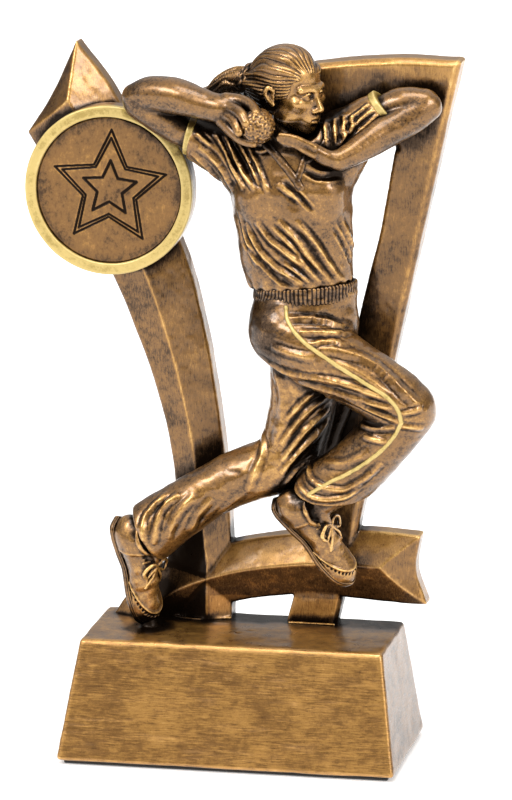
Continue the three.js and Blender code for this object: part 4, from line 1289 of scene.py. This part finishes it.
def make_upper(side, place, lean, aside):
    """lean and aside say how far the ankle tips to the toe and sideways for each millimetre upwards."""
    upper = Field((-3, -5, -0.4), (21, 5, 12.5), 0.14, place)
    upper.join(ellipsoid((2.6, 0, 2.9), (3.9, 2.9, 3.3)))
    upper.join(limb([(3.2, 0, 3.2, 2.9), (8.2, 0, 3.3, 2.8), (12.4, 0, 1.9, 2.7), (15.8, 0, 1.2, 2.4)]), 1.2)
    upper.join(ellipsoid((15.0, 0, 1.2), (3.9, 3.0, 2.3)), 1.0)
    ankle = [(4.0 + lean * z, aside * z, 4.2 + z, 2.7) for z in (0, 3.2, 6.4)]
    upper.join(limb(ankle, 0.92), 1.4)
    upper.cut(half_space((8, 0, 1.0), (0, 0, -1), 14), 0.1)
    # A padded top line and the tongue under the laces.
    upper.join(torus((4.2 + lean * 2.6, 0, 6.8), (0.3 + lean, 0, 1), 2.95, 0.42), 0.3)
    upper.join(limb([(5.8, 0, 6.6, 1.6), (8.4, 0, 5.0, 1.5), (11.0, 0, 3.9, 1.3)], 0.8), 0.5)
    skin = Skin(upper)
    x, y, z = in_shoe(skin, place)
    # The toe seam climbs round the toe: a rolled edge with a row of stitch holes below it.
    apron = (z - 1.45 - 0.29 * (x - 10.2)) / 0.96
    front = x > 10.2
    seam = 0.24 * bump(apron, 0.2) * front
    holes = np.sin((x - 0.8 * np.abs(y)) * 7.4) > 0.1
    stitch = 0.3 * bump(apron + 0.5, 0.16) * holes * front
    quarter = 0.16 * bump(np.abs(y) - 1.7, 0.25) * (z > 4) * (x > 6.4) * (x < 12)
    heel_cup = 0.12 * bump(x - 3.8 - 0.3 * z, 0.3) * (z < 6.2)
    creases = 0.06 * np.sin(x * 3.4 + 0.8 * np.cos(y)) * bump(x - 11.2, 1.6)
    skin.roughen((0.12, 1.3, 81), plus=seam - stitch + quarter + heel_cup + creases)
    piece(skin, f"{side}_shoe", figure_metal, "cast_bronze", f"{side}_shoe_upper", stain_and_shade=3 * stitch - 0.1)


def make_sole(side, place):
    sole = Field((-3, -5, -0.8), (21.5, 5, 3.0), 0.14, place)
    half = [(-1.3, 0), (0.2, 2.3), (4.2, 2.6), (8.4, 2.35), (13.2, 3.3), (17.4, 2.7), (19.4, 0)]
    outline = smooth(half + [(x, -y) for x, y in half[-2::-1]], 5)
    thick, edge = 1.25, 0.3

    def distance(p):
        x, y, z = p
        flat = to_outline(x[:, :, 0], y[:, :, 0], outline)[:, :, None]
        return rounded(flat, np.maximum(-z, z - thick), edge)

    sole.join(Form((-1.3, -3.3, 0), (19.4, 3.3, thick), distance))
    skin = Skin(sole)
    _, _, z = in_shoe(skin, place)
    skin.roughen((0.05, 1.2, 82), plus=-0.16 * bump(z - 0.95, 0.12))
    piece(skin, f"{side}_welted_sole", dark_metal, "cast_bronze_dark", f"{side}_shoe_sole")


def make_laces(side, place):
    laces = Field((4, -5, 1.5), (15, 5, 9.5), 0.11, place)
    for x, z in ((7.2, 6.7), (8.7, 5.9), (10.2, 5.2)):
        laces.join(limb([(x, -1.9, z - 1.2, 0.27), (x, 0, z - 0.1, 0.3), (x + 0.5, 1.9, z - 1.2, 0.27)]),
                   0.1)
    for turned in (-1, 1):
        loop = [(8.4, 0, 6.6, 0.34), (7.7, turned * 1.4, 7.2, 0.34), (8.6, turned * 3.0, 6.2, 0.34),
                (9.8, turned * 2.2, 5.6, 0.32), (8.6, 0, 6.5, 0.34)]
        end = [(8.6, 0, 6.5, 0.32), (10.4, turned * 1.2, 5.6, 0.3), (11.8, turned * 1.9, 4.2, 0.28)]
        laces.join(limb(loop), 0.12)
        laces.join(limb(end), 0.12)
    skin = Skin(laces)
    skin.roughen((0.03, 0.5, 83))
    piece(skin, f"{side}_bow_laces", figure_metal, "cast_bronze_dark", f"{side}_shoe_laces", stain_and_shade=-0.25)


def make_shoe(side, heel, toe, up, lean, aside):
    place = shoe_place(heel, toe, up)
    make_upper(side, place, lean, aside)
    make_sole(side, place)
    make_laces(side, place)


# ------------------------------------------------------------------ stage


def softbox(name, azimuth, elevation, power, spread):
    """A large soft light, seen that many degrees right of the front and above the floor."""
    data = bpy.data.lights.new(name, "SUN")
    data.energy, data.angle = power, math.radians(spread)
    lamp = bpy.data.objects.new(name, data)
    lamp.rotation_euler = (math.radians(90 - elevation), 0, math.radians(azimuth))
    bpy.context.collection.objects.link(lamp)


def look(azimuth, elevation):
    """The direction that many degrees right of the front and above the floor."""
    a, e = math.radians(azimuth), math.radians(elevation)
    return math.sin(a) * math.cos(e), -math.cos(a) * math.cos(e), math.sin(e)


def make_floor():
    mesh = bpy.data.meshes.new("floor")
    half = 3.0
    corners = [(-half, -half, 0), (half, -half, 0), (half, half, 0), (-half, half, 0)]
    mesh.from_pydata(corners, [], [(0, 1, 2, 3)])
    floor = bpy.data.objects.new("floor", mesh)
    bpy.context.collection.objects.link(floor)
    white = (1, 1, 1, 1)
    paper, _, _ = new_material("white_paper", Base_Color=(0.93, 0.93, 0.93, 1), Roughness=0.8,
                               Emission_Color=white, Emission_Strength=0.25)
    mesh.materials.append(paper)


def make_lights():
    world = bpy.data.worlds.new("studio")
    bpy.context.scene.world = world
    world.use_nodes = True
    tree = world.node_tree
    # Dark walls with soft panels on them, so the metal has something bright and something dark to mirror.
    direction = node(tree, "ShaderNodeTexCoord").outputs["Generated"]
    panels = []
    for azimuth, elevation, inner, outer, power in (
        (0, 90, 25, 75, 0.6),
        (-58, 30, 12, 34, 0.9),
        (62, 20, 12, 30, 1.4),
        (-14, 42, 8, 26, 1.1),
        (175, 40, 20, 50, 0.3),
    ):
        toward = node(tree, "ShaderNodeVectorMath", operation="DOT_PRODUCT")
        tree.links.new(direction, toward.inputs[0])
        toward.inputs[1].default_value = look(azimuth, elevation)
        low, high = math.cos(math.radians(outer)), math.cos(math.radians(inner))
        panels.append((ranged(tree, toward.outputs["Value"], low, high, 0.0, power, "SMOOTHSTEP"), 1.0))
    background = tree.nodes["Background"]
    background.inputs["Color"].default_value = (1.0, 0.985, 0.97, 1)
    tree.links.new(sum_of(tree, *panels, start=0.17), background.inputs["Strength"])

    # Lamps far enough away to light the whole floor evenly.
    softbox("key", -38, 42, 1.15, 20)
    softbox("fill", 48, 32, 0.85, 18)
    softbox("overhead", 8, 72, 1.2, 30)


def make_camera():
    """A long lens, a little to the right of the front and a little above."""
    distance, target, back = 0.963, Vector((0.0026, 0, 0.0633)), Vector(look(11.13, 12.62))
    data = bpy.data.cameras.new("camera")
    data.lens, data.sensor_width = 248.9, 36.0
    data.clip_start, data.clip_end = 0.01, 20
    camera = bpy.data.objects.new("camera", data)
    camera.location = target + back * distance
    camera.rotation_euler = (-back).to_track_quat("-Z", "Y").to_euler()
    bpy.context.collection.objects.link(camera)
    bpy.context.scene.camera = camera


# ------------------------------------------------------------------ everything

make_base()
make_frame()
make_medal()
cloth = make_trousers()
make_piping(cloth)
make_waistband()
shirt = make_shirt()
make_collar(shirt)
make_bands()
make_right_arm()
make_left_arm()
make_ball()
make_head()
make_hair()
make_hair_tie()
make_ponytail()
make_shoe("right", (6.6, -1.6, 45.2), (18.6, 0.2, 31.8), (0.60, -0.50, 0.60), 0.05, 0.35)
make_shoe("left", (-22.5, 0.4, 40.0), (-17.7, 1.4, 22.7), (0.84, -0.50, 0.26), -0.42, 0.5)
make_objects()
dress_hidden_steel()
make_floor()
make_lights()
make_camera()

bpy.context.scene.view_settings.view_transform = "Standard"
